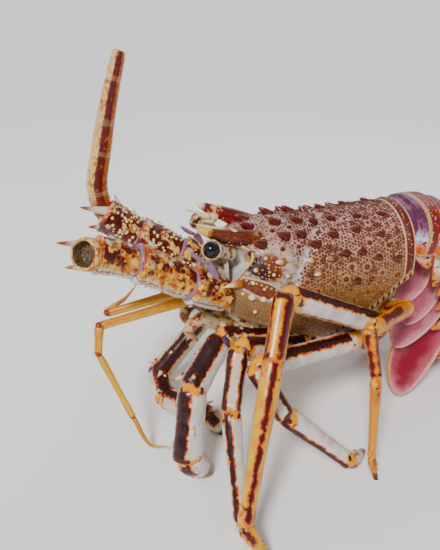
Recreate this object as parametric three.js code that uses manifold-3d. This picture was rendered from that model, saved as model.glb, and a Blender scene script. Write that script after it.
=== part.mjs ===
// A European spiny lobster, life size, standing on its walking legs. All sizes are millimetres.
// The model is drawn with +X towards the tail, -Y on the animal's left and +Z up. The floor is
// z = 0, y = 0 is the middle of the body and x = 0 is the rear edge of the carapace. The last
// lines move the whole model so that its origin is the middle of its footprint on the floor.
import * as THREE from "three";
import { mergeVertices } from "three/addons/utils/BufferGeometryUtils.js";
import Module from "manifold-3d";

const wasm = await Module();
wasm.setup();

// Driving dimensions
const carapaceLength = 134;
const seam = 0.3; // the gap between two pieces that meet
const sheetThickness = 1.3; // pleopods and the blades of the tail fan
const eyeRadius = 6;
const peduncleRadius = 12; // the thick lower segments of an antenna
const spineLean = 0.66; // how far the spines of the shell lean forwards
const tubercleCount = 40; // small tubercles on each side of the carapace
const tubercleSpacing = 8.8;
const segmentGranules = 5; // red granules across each abdomen segment

// Vectors and small sums

const vec = (x, y, z) => new THREE.Vector3(x, y, z);
const mirrored = (point, side) => vec(point[0], point[1] * side, point[2]);
const up = vec(0, 0, 1);

// Seeded draws between 0 and 1, the same each time the model is made.
function randomFrom(seed) {
  let state = seed;
  return () => {
    state = (state * 1664525 + 1013904223) % 4294967296;
    return state / 4294967296;
  };
}

// A smooth value at x through rows of [x, value, value, ...], with slopes from the neighbours.
function smoothRow(rows, x, column) {
  let k = 0;
  while (k < rows.length - 2 && x > rows[k + 1][0]) k++;
  const slope = (i) => {
    const a = rows[Math.max(i - 1, 0)];
    const b = rows[Math.min(i + 1, rows.length - 1)];
    return (b[column] - a[column]) / (b[0] - a[0]);
  };
  const [from, to] = [rows[k], rows[k + 1]];
  const span = to[0] - from[0];
  const t = THREE.MathUtils.clamp((x - from[0]) / span, 0, 1);
  const keep = (1 + 2 * t) * (1 - t) ** 2;
  return (
    from[column] * keep +
    to[column] * (1 - keep) +
    span * (slope(k) * t * (1 - t) ** 2 + slope(k + 1) * (t - 1) * t ** 2)
  );
}

// Closed solids

function solidFrom(points, faces) {
  let volume = 0;
  for (let f = 0; f < faces.length; f += 3) {
    const [a, b, c] = [points[faces[f]], points[faces[f + 1]], points[faces[f + 2]]];
    volume += a.dot(b.clone().cross(c));
  }
  if (volume < 0)
    for (let f = 0; f < faces.length; f += 3)
      [faces[f + 1], faces[f + 2]] = [faces[f + 2], faces[f + 1]];
  const vertProperties = new Float32Array(points.flatMap((p) => [p.x, p.y, p.z]));
  return new wasm.Manifold(
    new wasm.Mesh({ numProp: 3, vertProperties, triVerts: new Uint32Array(faces) }),
  );
}

// A three.js geometry as a solid, with its repeated corners merged.
function solidOf(geometry) {
  geometry.deleteAttribute("normal");
  geometry.deleteAttribute("uv");
  const merged = mergeVertices(geometry, 1e-4);
  const place = merged.attributes.position;
  const points = [];
  for (let i = 0; i < place.count; i++) points.push(vec(place.getX(i), place.getY(i), place.getZ(i)));
  return solidFrom(points, [...merged.index.array]);
}

// A surface through closed rings of points, with a flat fan over each end.
function loft(rings) {
  const sides = rings[0].length;
  const points = rings.flat();
  const faces = [];
  for (let r = 0; r + 1 < rings.length; r++)
    for (let s = 0; s < sides; s++) {
      const a = r * sides + s;
      const b = r * sides + ((s + 1) % sides);
      faces.push(a, b, b + sides, a, b + sides, a + sides);
    }
  const last = (rings.length - 1) * sides;
  for (let s = 1; s + 1 < sides; s++) {
    faces.push(0, s + 1, s);
    faces.push(last, last + s, last + s + 1);
  }
  return solidFrom(points, faces);
}

// One closed body from several that cross, keeping the largest.
function join(...solids) {
  const whole = solids.flat().reduce((sum, piece) => sum.add(piece));
  return largest(whole);
}

function largest(solid) {
  return solid.decompose().reduce((a, b) => (b.volume() > a.volume() ? b : a));
}

// What lies on the far side of a plane through a point, set back by half the seam.
function trimmed(solid, point, normal, gap = seam / 2) {
  const n = normal.clone().normalize();
  return largest(solid.trimByPlane([n.x, n.y, n.z], n.dot(point) + gap));
}

// A round or oval bar through points. Each row of the profile is [place, width, height], where
// place counts points along the path and the sizes are half widths. side is the direction that
// stays level, so that the bar doesn't twist.
function bar(path, profile, side, corners = 8) {
  const rings = profile.map(([place, width, height]) => {
    const k = Math.min(Math.floor(place), path.length - 2);
    const t = place - k;
    const centre = path[k].clone().lerp(path[k + 1], t);
    const here = path[k + 1].clone().sub(path[k]).normalize();
    let heading = here;
    let stretch = 1;
    const bend = t === 0 && k > 0 ? k : t === 1 && k + 2 < path.length ? k + 1 : 0;
    if (bend) {
      const before = path[bend].clone().sub(path[bend - 1]).normalize();
      const after = path[bend + 1].clone().sub(path[bend]).normalize();
      heading = before.clone().add(after).normalize();
      stretch = Math.min(1 / Math.max(heading.dot(before), 0.1), 1.35);
    }
    const across = side.clone().addScaledVector(heading, -side.dot(heading)).normalize();
    const over = heading.clone().cross(across);
    const ring = [];
    for (let s = 0; s < corners; s++) {
      const angle = ((s + 0.5) / corners) * 2 * Math.PI;
      ring.push(
        centre
          .clone()
          .addScaledVector(across, Math.cos(angle) * width)
          .addScaledVector(over, Math.sin(angle) * height * stretch),
      );
    }
    return ring;
  });
  return loft(rings);
}

// A thorn with its root sunk into what it grows from.
function spine(root, direction, length, radius, corners = 5) {
  const sunk = Math.min(length * 0.4, 3.5);
  const cone = new THREE.ConeGeometry(radius, length + sunk, corners, 1);
  cone.translate(0, (length - sunk) / 2, 0);
  const turn = new THREE.Quaternion().setFromUnitVectors(vec(0, 1, 0), direction.clone().normalize());
  cone.applyQuaternion(turn);
  cone.translate(root.x, root.y, root.z);
  return solidOf(cone);
}

// A thin curved blade. outline gives its half width from the root (0) to the tip (1), cup bends
// its edges, droop its tip and bow its middle line. Both faces are split along the same diagonals.
function blade({
  root,
  tip,
  across,
  outline,
  cup = 0,
  droop = 0,
  bow = 0,
  thickness = sheetThickness,
  steps = 6,
  columns = 4,
}) {
  const along = tip.clone().sub(root);
  const side = across.clone().addScaledVector(along, -across.dot(along) / along.lengthSq()).normalize();
  const normal = along.clone().normalize().cross(side);
  const points = [];
  for (const face of [0.5, -0.5])
    for (let i = 0; i <= steps; i++)
      for (let j = 0; j <= columns; j++) {
        const u = i / steps;
        const w = (2 * j) / columns - 1;
        const lift = cup * w * w + droop * u * u + face * thickness * (1 - 0.45 * w * w);
        points.push(
          root
            .clone()
            .addScaledVector(along, u)
            .addScaledVector(side, w * outline(u) + bow * Math.sin(Math.PI * u))
            .addScaledVector(normal, lift),
        );
      }
  const at = (face, i, j) => (face * (steps + 1) + i) * (columns + 1) + j;
  const faces = [];
  const quad = (a, b, c, d) => faces.push(a, b, c, a, c, d);
  for (let i = 0; i < steps; i++)
    for (let j = 0; j < columns; j++) {
      const corners = [[i, j], [i + 1, j], [i + 1, j + 1], [i, j + 1]];
      const [a, b, c, d] = corners.map(([p, q]) => at(0, p, q));
      faces.push(a, b, c, a, c, d);
      const [e, f, g, h] = corners.map(([p, q]) => at(1, p, q));
      faces.push(e, g, f, e, h, g);
    }
  for (let i = 0; i < steps; i++) {
    quad(at(0, i, 0), at(1, i, 0), at(1, i + 1, 0), at(0, i + 1, 0));
    quad(at(0, i + 1, columns), at(1, i + 1, columns), at(1, i, columns), at(0, i, columns));
  }
  for (let j = 0; j < columns; j++) {
    quad(at(0, 0, j + 1), at(1, 0, j + 1), at(1, 0, j), at(0, 0, j));
    quad(at(0, steps, j), at(1, steps, j), at(1, steps, j + 1), at(0, steps, j + 1));
  }
  return solidFrom(points, faces);
}

// Materials

const shade = (color, roughness, metalness = 0) =>
  new THREE.MeshStandardMaterial({ color, roughness, metalness });
const shellTan = shade(0xa8744f, 0.45);
const shellUnder = shade(0xe6d3b4, 0.5);
const hornRed = shade(0x8a3a1c, 0.4);
const legCream = shade(0xe8cfa6, 0.4);
const abdomenPurple = shade(0x6b3a4a, 0.4);
const leafPink = shade(0xc65a63, 0.5);
const eyeBlack = shade(0x0b0a0a, 0.1);
const feelerOrange = shade(0xd9913f, 0.45);

const pieces = [];
const addPiece = (name, solid, material) => pieces.push({ name, solid, material });
const sides = [
  ["left", -1],
  ["right", 1],
];

// The carapace: a barrel whose section is a rounded arch over a narrower keel.
// Rows are [x, height of the top, height of the keel, half width].
const barrelRows = [
  [-134, 148, 84, 26],
  [-124, 153, 76, 32],
  [-109, 157, 66, 37.5],
  [-87, 158.5, 57, 41],
  [-60, 158.5, 54, 42.5],
  [-25, 161, 66, 41],
  [0, 162.5, 84, 36.5],
];
const archPower = 2.2;
const widestShare = 0.54; // the height of the widest line, from the keel to the top
const grooveDepth = 2.2;
const grooveWidth = 4;

// The neck groove leans forwards as it goes down, and runs out over the first of these two angles
// to the second. angle is in degrees from the top.
const grooveLine = (angle) => -62 - 0.4 * angle;
const grooveFade = [84, 98];

// A point of the barrel at x, turned by an angle in degrees from the top towards one side.
function barrelPoint(x, angle, side = 1, grow = 0) {
  const [top, keel, half] = [1, 2, 3].map((column) => smoothRow(barrelRows, x, column));
  const middle = keel + widestShare * (top - keel);
  const a = THREE.MathUtils.degToRad(angle);
  const fade = Math.min(1, Math.max(0, (grooveFade[1] - angle) / (grooveFade[1] - grooveFade[0])));
  const groove = fade * grooveDepth * Math.exp(-(((x - grooveLine(angle)) / grooveWidth) ** 2));
  const rim = Math.exp(-(((x + 3) / 3) ** 2)) - 0.9 * Math.exp(-(((x + 10) / 2.6) ** 2));
  const scale = 1 + (rim - groove + grow) / half;
  const power = 2 / archPower;
  const y = half * Math.abs(Math.sin(a)) ** power;
  const rise = Math.cos(a) > 0 ? top - middle : middle - keel;
  const z = Math.sign(Math.cos(a)) * rise * Math.abs(Math.cos(a)) ** power;
  return vec(x, side * y * scale, middle + z * scale);
}

// The direction that faces out of the barrel at a place.
function barrelNormal(x, angle, side) {
  const alongX = barrelPoint(x + 1, angle, side).sub(barrelPoint(x - 1, angle, side));
  const round = barrelPoint(x, angle + 2, side).sub(barrelPoint(x, angle - 2, side));
  return alongX.cross(round).multiplyScalar(-side).normalize();
}

// The two slanting cuts of the underside, which meet below the middle of the thorax.
const marginFront = { point: vec(-60, 0, 71), normal: vec(0.33, 0, 1) };
const marginRear = { point: vec(-60, 0, 71), normal: vec(-0.82, 0, 1) };

function barrel() {
  const rings = [];
  const ringCount = 28;
  const halfSides = 14;
  for (let i = 0; i <= ringCount; i++) {
    const x = -carapaceLength + (carapaceLength * i) / ringCount;
    const ring = [];
    for (let s = 0; s < 2 * halfSides; s++) {
      const turn = (s * 180) / halfSides;
      ring.push(turn <= 180 ? barrelPoint(x, turn, 1) : barrelPoint(x, 360 - turn, -1));
    }
    rings.push(ring);
  }
  return loft(rings);
}

// Spines of the upper shell as [x, degrees from the top, length, root radius].
const mainSpines = [
  [-117, 10, 9, 3.4],
  [-98, 11, 8.5, 3.2],
  [-82, 12, 7.5, 3],
  [-70, 12, 6.5, 2.8],
  [-57, 13, 6, 2.6],
  [-38, 15, 5, 2.4],
  [-20, 18, 4.5, 2.3],
  [-112, 38, 9, 3.4],
  [-95, 31, 8.5, 3.3],
  [-83, 30, 7, 3],
  [-74, 41, 7, 3],
  [-60, 33, 6.5, 2.8],
  [-43, 32, 5.5, 2.5],
  [-26, 42, 4.5, 2.2],
  [-100, 58, 8, 3],
  [-79, 57, 6.5, 2.8],
  [-65, 56, 6.5, 2.8],
  [-74, 69, 6, 2.6],
  [-54, 53, 6, 2.6],
  [-42, 55, 5, 2.4],
  [-30, 64, 5, 2.3],
  [-15, 72, 4.5, 2.2],
  [-46, 80, 5, 2.3],
];

// The spine of the front edge, below each orbit, which points forwards.
const edgeSpine = { x: -129, angle: 84, length: 12, radius: 3.4, spread: 0.25 };

// Each orbit is a round hollow in the front edge of the shell, below the horn.
const orbitCentre = [-136, 29, 138];
const orbitRadius = 14;

// How far a point lies above the nearer of the two cuts of the underside.
const aboveMargin = (point) =>
  Math.min(
    ...[marginFront, marginRear].map(
      ({ point: onCut, normal }) => point.clone().sub(onCut).dot(normal) / normal.length(),
    ),
  );

// Small tubercles of one side, at seeded places clear of the spines, the neck groove, the edges
// and each other. Each is [x, degrees from the top, height].
function shellTubercles() {
  const draw = randomFrom(11);
  const taken = mainSpines.map(([x, angle]) => barrelPoint(x, angle));
  const found = [];
  for (let tries = 0; tries < 3000 && found.length < tubercleCount; tries++) {
    const x = THREE.MathUtils.lerp(-128, -13, draw());
    const angle = THREE.MathUtils.lerp(6, 110, draw());
    const height = THREE.MathUtils.lerp(1.3, 2.2, draw());
    const point = barrelPoint(x, angle);
    const crowded = taken.some((other) => other.distanceTo(point) < tubercleSpacing);
    const inGroove = Math.abs(x - grooveLine(angle)) < grooveWidth + 1;
    const inOrbit = point.distanceTo(vec(...orbitCentre)) < orbitRadius + 3;
    if (crowded || inGroove || inOrbit || aboveMargin(point) < 5) continue;
    taken.push(point);
    found.push([x, angle, height]);
  }
  return found;
}

function carapace() {
  const parts = [barrel()];
  const small = shellTubercles();
  const grow = (side, x, angle, length, radius, lean, corners) => {
    const out = barrelNormal(x, angle, side).multiplyScalar(0.75).add(vec(-lean, 0, 0.1));
    parts.push(spine(barrelPoint(x, angle, side), out, length, radius, corners));
  };
  for (const [sideName, side] of sides) {
    for (const [x, angle, length, radius] of mainSpines) grow(side, x, angle, length, radius, spineLean, 5);
    for (const [x, angle, height] of small) grow(side, x, angle, height, height * 0.8, spineLean / 2, 4);
    const path = hornPaths[sideName].map((point) => vec(...point));
    parts.push(bar(path, hornProfile, vec(0, 1, 0), 8));
    for (const [root, tip, radius] of hornSpikes) {
      const from = mirrored(root, side);
      const reach = mirrored(tip, side).sub(from);
      parts.push(spine(from, reach, reach.length(), radius));
    }
  }
  let shell = join(parts);
  for (const [, side] of sides) {
    const hollow = new THREE.SphereGeometry(orbitRadius, 12, 7);
    hollow.translate(...mirrored(orbitCentre, side));
    const { x, angle, length, radius, spread } = edgeSpine;
    const forwards = vec(-1, side * spread, 0);
    const thorn = spine(barrelPoint(x, angle, side), forwards, length, radius);
    shell = join(largest(shell.subtract(solidOf(hollow))), thorn);
  }
  shell = trimmed(shell, marginFront.point, marginFront.normal, 0);
  shell = trimmed(shell, marginRear.point, marginRear.normal, 0);
  return shell;
}

// The two horns over the eyes: flattened, arched forwards and pointed. The left one lies lower.
const hornPaths = {
  left: [
    [-106, -14, 147],
    [-122, -16, 150.5],
    [-138, -16.5, 154],
    [-156, -16.5, 160.5],
  ],
  right: [
    [-106, 14, 147],
    [-122, 16, 153.5],
    [-136, 17, 159.5],
    [-150, 17.5, 166],
  ],
};
const hornProfile = [
  [0, 6, 7],
  [1, 5.5, 6.4],
  [1.6, 4.6, 5.4],
  [2.2, 3.4, 4.2],
  [2.7, 2, 2.6],
  [3, 0.4, 0.5],
];

// A slender spike inside each horn and the teeth of the horn's lower edge: [root, tip, radius].
const hornSpikes = [
  [[-137, 12.5, 156], [-159, 13, 164], 2.8],
  [[-143, 11, 157.5], [-152.5, 9, 161], 2],
  [[-140, 9.5, 154], [-150, 6.5, 157], 1.9],
  [[-128, 17, 156], [-134, 18, 161.5], 1.8],
];

addPiece("carapace", carapace(), shellTan);

// The section of the underside as [share of the half width, height over the keel].
const sternumSection = [
  [0.55, 0],
  [1, 5],
  [1.02, 20],
  [0.95, 70],
  [-0.95, 70],
  [-1.02, 20],
  [-1, 5],
  [-0.55, 0],
];

// The underside of the thorax between the legs, cut to meet the carapace.
function sternum(grow = 0) {
  const rows = [
    [-132, 14, 84],
    [-110, 15, 66],
    [-80, 19, 59],
    [-40, 23, 60],
    [-14, 25, 66],
    [-4, 24, 72],
  ];
  const rings = [];
  for (let i = 0; i <= 10; i++) {
    const x = -132 + 12.8 * i;
    const half = smoothRow(rows, x, 1);
    const low = smoothRow(rows, x, 2);
    rings.push(sternumSection.map(([w, z]) => vec(x, w * half + Math.sign(w) * grow, low + z - grow)));
  }
  const core = loft(rings);
  const cut = ({ point, normal }) => trimmed(core, point, normal.clone().negate(), seam - grow);
  return join(cut(marginFront), cut(marginRear));
}

addPiece("sternum", sternum(), shellUnder);
const sternumClearance = sternum(seam);

// The front of the head below the eyes, which carries the feelers.
function faceBlock(grow = 0) {
  const rows = [
    [-carapaceLength - seam, 25, 100, 141],
    [-140, 23, 99, 139],
    [-148, 18, 101, 131],
    [-153, 11, 103, 122],
  ];
  if (grow) rows.unshift([-carapaceLength + 1, 25, 100, 141]);
  const rings = rows.map(([x, half, low, high]) => {
    const ring = [];
    const middle = (low + high) / 2;
    for (let s = 0; s < 14; s++) {
      const a = ((s + 0.5) / 14) * 2 * Math.PI;
      const y = Math.sign(Math.cos(a)) * Math.abs(Math.cos(a)) ** 0.75 * (half + grow);
      const z = Math.sign(Math.sin(a)) * Math.abs(Math.sin(a)) ** 0.75 * ((high - low) / 2 + grow);
      ring.push(vec(x - (x < -150 ? grow : 0), y, middle + z));
    }
    return ring;
  });
  return loft(rings);
}

addPiece("face", faceBlock(), shellUnder);
const faceClearance = faceBlock(seam);

// Eyes: a short stalk that leaves the head sideways, with a round cornea.
for (const [sideName, side] of sides) {
  const root = mirrored([-131, 15, 139], side);
  const end = mirrored([-146, 24.5, 148.5], side);
  const stalk = bar([root, end], [[0, 5, 5], [0.7, 4.6, 5], [1, 5.2, 5.6]], up, 10);
  const ball = new THREE.SphereGeometry(eyeRadius, 12, 8);
  ball.translate(end.x - 1.2, end.y + side * 1.6, end.z + 0.4);
  const eye = trimmed(join(stalk, solidOf(ball)), vec(-carapaceLength, 0, 0), vec(-1, 0, 0), seam);
  addPiece("eye_" + sideName, largest(eye.subtract(faceClearance)), eyeBlack);
}

// Antennae: two thick lower segments, a third that holds the whip, and the whip itself.
// The left whip has snapped off at its root. Points run from the head outwards.
const antennaPaths = {
  left: [[-133, -19, 107], [-162, -24, 123], [-198, -30, 147], [-224, -36, 158], [-230, -44, 162.5]],
  right: [[-133, 19, 108], [-162, 24, 125], [-192, 29, 141], [-216, 31, 158]],
};
const antennaSpines = {
  base: [
    [0.72, 70, 7],
    [0.8, 10, 6],
    [0.82, 140, 7],
    [0.8, 200, 5],
    [0.55, 40, 5],
    [0.6, -30, 4],
    [0.78, -60, 5],
  ],
  middle: [
    [0.28, 100, 5],
    [0.55, 60, 6],
    [0.82, 110, 8],
    [0.84, 30, 7],
    [0.84, 190, 6],
    [0.5, 160, 5],
    [0.25, -20, 3.5],
    [0.4, -28, 3.5],
    [0.56, -22, 4],
    [0.72, -30, 4],
    [0.84, -50, 5],
  ],
  outer: [
    [0.3, 80, 5],
    [0.62, 110, 5],
    [0.78, 70, 7],
    [0.3, -25, 3.5],
    [0.6, -30, 4],
    [0.76, 190, 6],
  ],
};

// Long spines round the root of each whip, as [root, tip].
const longSpines = {
  left: [
    [[-221, -31, 162], [-246, -36, 168]],
    [[-222, -35, 148.5], [-242.9, -36, 150.8]],
  ],
  right: [
    [[-210, 24, 162], [-232, 22, 168]],
    [[-208, 25, 150], [-228, 21, 153]],
  ],
};
const longSpineRadius = 2.6;

function antennaSegment(path, index, radiusFrom, radiusTo) {
  const middle = (radiusFrom + radiusTo) / 2;
  const rows = [
    [index, radiusFrom * 0.8, radiusFrom * 0.8],
    [index + 0.1, radiusFrom, radiusFrom * 0.94],
    [index + 0.55, middle, middle * 0.94],
    [index + 0.86, radiusTo * 1.08, radiusTo],
    [index + 1, radiusTo * 0.82, radiusTo * 0.8],
  ];
  return bar(path, rows, vec(0, 1, 0), 10);
}

// Spines along one stretch of a limb, each [share of the stretch, degrees round it, length]. 0
// degrees is the outer side and 90 is the top.
function limbSpines(from, to, radius, rows, side) {
  const heading = to.clone().sub(from).normalize();
  const across = vec(0, 1, 0).addScaledVector(heading, -heading.y).normalize();
  const over = heading.clone().cross(across);
  return rows.map(([t, angle, length]) => {
    const a = THREE.MathUtils.degToRad(angle);
    const out = across
      .clone()
      .multiplyScalar(Math.cos(a) * side)
      .addScaledVector(over, Math.sin(a) * Math.sign(over.z || 1));
    const root = from.clone().lerp(to, t).addScaledVector(out, radius * 0.9);
    return spine(root, out.clone().addScaledVector(heading, 1.1), length, length * 0.32);
  });
}

// The joint plane between two stretches of a path, facing outwards from the head.
function jointPlane(path, index) {
  const before = path[index].clone().sub(path[index - 1]).normalize();
  const after = path[index + 1] ? path[index + 1].clone().sub(path[index]).normalize() : before;
  return { point: path[index], normal: before.add(after).normalize() };
}

function between(solid, start, end) {
  let piece = solid;
  if (start) piece = trimmed(piece, start.point, start.normal);
  if (end) piece = trimmed(piece, end.point, end.normal.clone().negate());
  return piece;
}

const spikeBetween = (root, tip, radius) => {
  const reach = vec(...tip).sub(vec(...root));
  return spine(vec(...root), reach, reach.length(), radius);
};

for (const [sideName, side] of sides) {
  const path = antennaPaths[sideName].map((point) => vec(...point));
  const planes = path.map((point, i) => (i > 0 ? jointPlane(path, i) : null));
  const r = peduncleRadius;
  const long = longSpines[sideName];
  const finish = (index, solid, rows) => {
    const cut = between(solid, planes[index], planes[index + 1]);
    return join(cut, limbSpines(path[index], path[index + 1], r, rows, side));
  };
  const front = vec(-carapaceLength, 0, 0);
  const baseBar = trimmed(antennaSegment(path, 0, r * 1.05, r * 1.1), front, vec(-1, 0, 0), seam);
  const base = finish(0, largest(baseBar.subtract(faceClearance)), antennaSpines.base);
  const middle = finish(1, antennaSegment(path, 1, r, r * 1.06), antennaSpines.middle);
  const outer = finish(2, antennaSegment(path, 2, r * 0.95, r * 1.02), antennaSpines.outer);
  const longOnes = long.map(([root, tip]) => spikeBetween(root, tip, longSpineRadius));
  addPiece(`antenna_${sideName}_base`, base, hornRed);
  addPiece(`antenna_${sideName}_middle`, middle, hornRed);
  addPiece(`antenna_${sideName}_outer`, join(outer, longOnes), hornRed);
}
const longClearance = (sideName) => {
  const thick = longSpineRadius + 2 * seam;
  const spikes = longSpines[sideName].map(([root, tip]) => spikeBetween(root, tip, thick));
  return spikes[0].add(spikes[1]);
};

// What is left of the left whip: its thick root, broken off with a hollow end.
const leftPath = antennaPaths.left.map((point) => vec(...point));
const stumpProfile = [
  [3, 9.5, 9],
  [3.4, 10.8, 10.4],
  [3.8, 11, 10.6],
  [4, 10, 9.8],
];
const stumpBar = bar(leftPath, stumpProfile, vec(0, 1, 0), 12);
const stumpHollow = bar(
  [leftPath[4].clone().lerp(leftPath[3], 0.4), leftPath[4].clone().lerp(leftPath[3], -0.2)],
  [[0, 5.5, 5.5], [1, 8, 7.8]],
  vec(0, 1, 0),
  10,
);
const stump = between(stumpBar, jointPlane(leftPath, 3), null).subtract(stumpHollow);
addPiece("antenna_left_stump", largest(stump.subtract(longClearance("left"))), feelerOrange);

// The right whip rises from its segment and bows a little backwards.
function rightWhip() {
  const root = vec(...antennaPaths.right.at(-1));
  const curve = new THREE.CatmullRomCurve3([
    root.clone().add(vec(8, 0, -6)),
    root.clone().add(vec(-3, 1, 8)),
    vec(-218, 32.5, 185),
    vec(-210, 32.5, 218.6),
    vec(-195.6, 32, 269.5),
  ]);
  const path = curve.getPoints(14);
  const profile = path.map((_, i) => {
    const t = i / 14;
    const radius = THREE.MathUtils.lerp(7.6, 4.2, t ** 1.2);
    return [i, radius, radius];
  });
  return bar(path, profile, vec(0, 1, 0), 8);
}
const rightPath = antennaPaths.right.map((point) => vec(...point));
const whip = between(rightWhip(), jointPlane(rightPath, 3), null);
addPiece("antenna_right_whip", largest(whip.subtract(longClearance("right"))), feelerOrange);

// Antennules: a long thin stem in three lengths, then a fine double tip.
const antennuleStems = {
  left: [
    [-146, -7, 104],
    [-227, -14, 91],
    [-229.5, -22, 73],
    [-209, -43, 27.5],
  ],
  right: [
    [-146, 7, 104],
    [-221, 10, 86.5],
    [-214, 20, 87],
  ],
};
const antennuleTips = {
  left: [
    [-199, -51, 7],
    [-188, -54, 6.5],
  ],
  right: [
    [-206, 34, 84],
    [-196, 46, 88],
  ],
};

// Each length is waisted at its root and thinner than the one before it.
function stemProfile(count) {
  const rows = [];
  for (let i = 0; i + 1 < count; i++)
    for (const [t, radius] of [[0, 3.6 - 0.7 * i], [0.15, 4.4 - 0.9 * i], [0.9, 3.1 - 0.4 * i]])
      rows.push([i + t, radius, radius]);
  rows.push([count - 1, 1.9, 1.9]);
  return rows;
}
const tipProfile = [
  [0, 1.8, 1.8],
  [1, 1.5, 1.5],
  [2, 0.5, 0.5],
];
for (const [sideName] of sides) {
  const stem = antennuleStems[sideName].map((point) => vec(...point));
  const stemSolid = bar(stem, stemProfile(stem.length), up, 6);
  addPiece(`antennule_${sideName}_stem`, largest(stemSolid.subtract(faceClearance)), feelerOrange);
  const finish = stem.at(-1).clone().sub(stem.at(-2)).normalize();
  const tipRoot = stem.at(-1).clone().addScaledVector(finish, -2);
  const tip = antennuleTips[sideName].map((point) => vec(...point));
  const tipSolid = bar([tipRoot, ...tip], tipProfile, up, 6);
  addPiece(`antennule_${sideName}_tip`, trimmed(tipSolid, stem.at(-1), finish, seam), feelerOrange);
}

// Third maxillipeds: the outermost mouthparts, folded forwards under the face.
const maxillipedJoints = [
  [-108, 5, 74],
  [-130, 7.5, 75],
  [-154, 13, 86],
  [-162, 11, 76],
  [-155, 8, 64],
];
for (const [sideName, side] of sides) {
  const path = maxillipedJoints.map((point) => mirrored(point, side));
  const rows = [
    [0, 4, 5],
    [1, 5, 6],
    [1.8, 5, 5.5],
    [2, 4.4, 4.4],
    [2.6, 4.2, 4.4],
    [3, 3.6, 3.6],
    [4, 1, 1],
  ];
  const limb = bar(path, rows, vec(0, 1, 0), 8);
  addPiece("maxilliped_" + sideName, largest(limb.subtract(sternumClearance)), shellUnder);
}

// Walking legs, as joints from the body to the toe: hip, knee root, merus end, carpus end,
// propodus end and toe. The last number of each row is the half thickness there.
const legJoints = {
  left: [
    [
      [-84, -12, 67, 7.5],
      [-95, -24, 67, 8.5],
      [-146, -46, 88, 10],
      [-169, -68, 68, 10.5],
      [-176, -84, 22, 11],
      [-160, -79, -1, 4],
    ],
    [
      [-66, -14, 66, 7],
      [-76, -33, 66, 7.6],
      [-137, -65, 93, 8.2],
      [-147, -87, 60, 7.4],
      [-150, -130, 7, 5],
      [-144, -142, -1, 2.4],
    ],
    [
      [-45, -16, 66, 7],
      [-40, -40, 70, 8],
      [-129, -79, 87, 8],
      [-111, -90, 54, 7.8],
      [-64, -100, 11, 6],
      [-44, -82, -1, 2.4],
    ],
    [
      [-28, -18, 69, 7],
      [-22, -45, 84, 8],
      [-109, -70, 133, 8],
      [-122, -94, 102, 7.4],
      [-152, -147, 24, 5.4],
      [-137, -157, -1, 2.4],
    ],
    [
      [-13, -18, 80, 6],
      [-4, -44, 96, 6.2],
      [-50, -76, 103, 5.6],
      [-49, -92, 76, 4.4],
      [-50, -104, 15, 3.2],
      [-47, -109, -1, 2.2],
    ],
  ],
  right: [
    [
      [-88, 12, 67, 7.5],
      [-128, 27, 80, 8.5],
      [-185, 12, 23, 10.4],
      [-183, -11, 15, 9.2],
      [-152, -36, 12, 9],
      [-139, -44, -1, 3.6],
    ],
    [
      [-66, 14, 66, 7],
      [-76, 34, 66, 7.6],
      [-130, 70, 94, 8.4],
      [-142, 98, 66, 8.2],
      [-146, 134, 12, 6],
      [-139, 144, -1, 2.4],
    ],
    [
      [-45, 16, 66, 7],
      [-48, 40, 69, 8],
      [-98, 86, 98, 8],
      [-108, 114, 67, 7.8],
      [-112, 150, 13, 6],
      [-104, 160, -1, 2.4],
    ],
    [
      [-28, 18, 69, 7],
      [-26, 44, 78, 8],
      [-50, 98, 102, 8.2],
      [-53, 126, 70, 7.8],
      [-58, 162, 14, 6.2],
      [-52, 172, -1, 2.4],
    ],
    [
      [-13, 18, 80, 6],
      [-4, 44, 92, 6.6],
      [12, 84, 100, 5.6],
      [20, 102, 72, 4.4],
      [24, 120, 18, 3.2],
      [27, 128, -1, 2.2],
    ],
  ],
};

// One stretch of a leg from joint to joint, waisted at its ends.
function legProfile(index, radii) {
  const [a, b] = [radii[index], radii[index + 1]];
  const toe = index === radii.length - 2;
  if (toe)
    return [
      [index + 0.2, a * 0.9, a * 0.9],
      [index + 0.65, a * 0.6, a * 0.62],
      [index + 1, b, b],
    ];
  return [
    [index + 0.14, a * 0.9, a],
    [index + 0.5, (a + b) * 0.43, (a + b) * 0.5],
    [index + 0.86, b * 0.9, b * 1.06],
    [index + 1, b * 0.74, b * 0.8],
  ];
}

function legStretch(row, first, last) {
  const path = row.map(([x, y, z]) => vec(x, y, z));
  const radii = row.map((joint) => joint[3]);
  const reach = path.at(-2).clone().sub(path[1]);
  const level = vec(-reach.y, reach.x, 0).normalize();
  const profile = [[first, radii[first] * 0.78, radii[first] * 0.84]];
  for (let i = first; i < last; i++) profile.push(...legProfile(i, radii));
  return bar(path, profile, level, 8);
}

// Spines at the end of each merus, and the extra ones of the stout first legs.
const meruSpines = [[0.9, 90, 6]];
const firstMerus = [[0.5, 80, 5], [0.7, 100, 5], [0.9, 75, 8], [0.88, 150, 6]];
const firstCarpus = [[0.4, 60, 5], [0.82, 20, 9], [0.8, 110, 6]];
const firstHand = [[0.3, 30, 5], [0.55, 10, 5], [0.78, 20, 7], [0.5, 150, 4.5], [0.8, -40, 6]];

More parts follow.
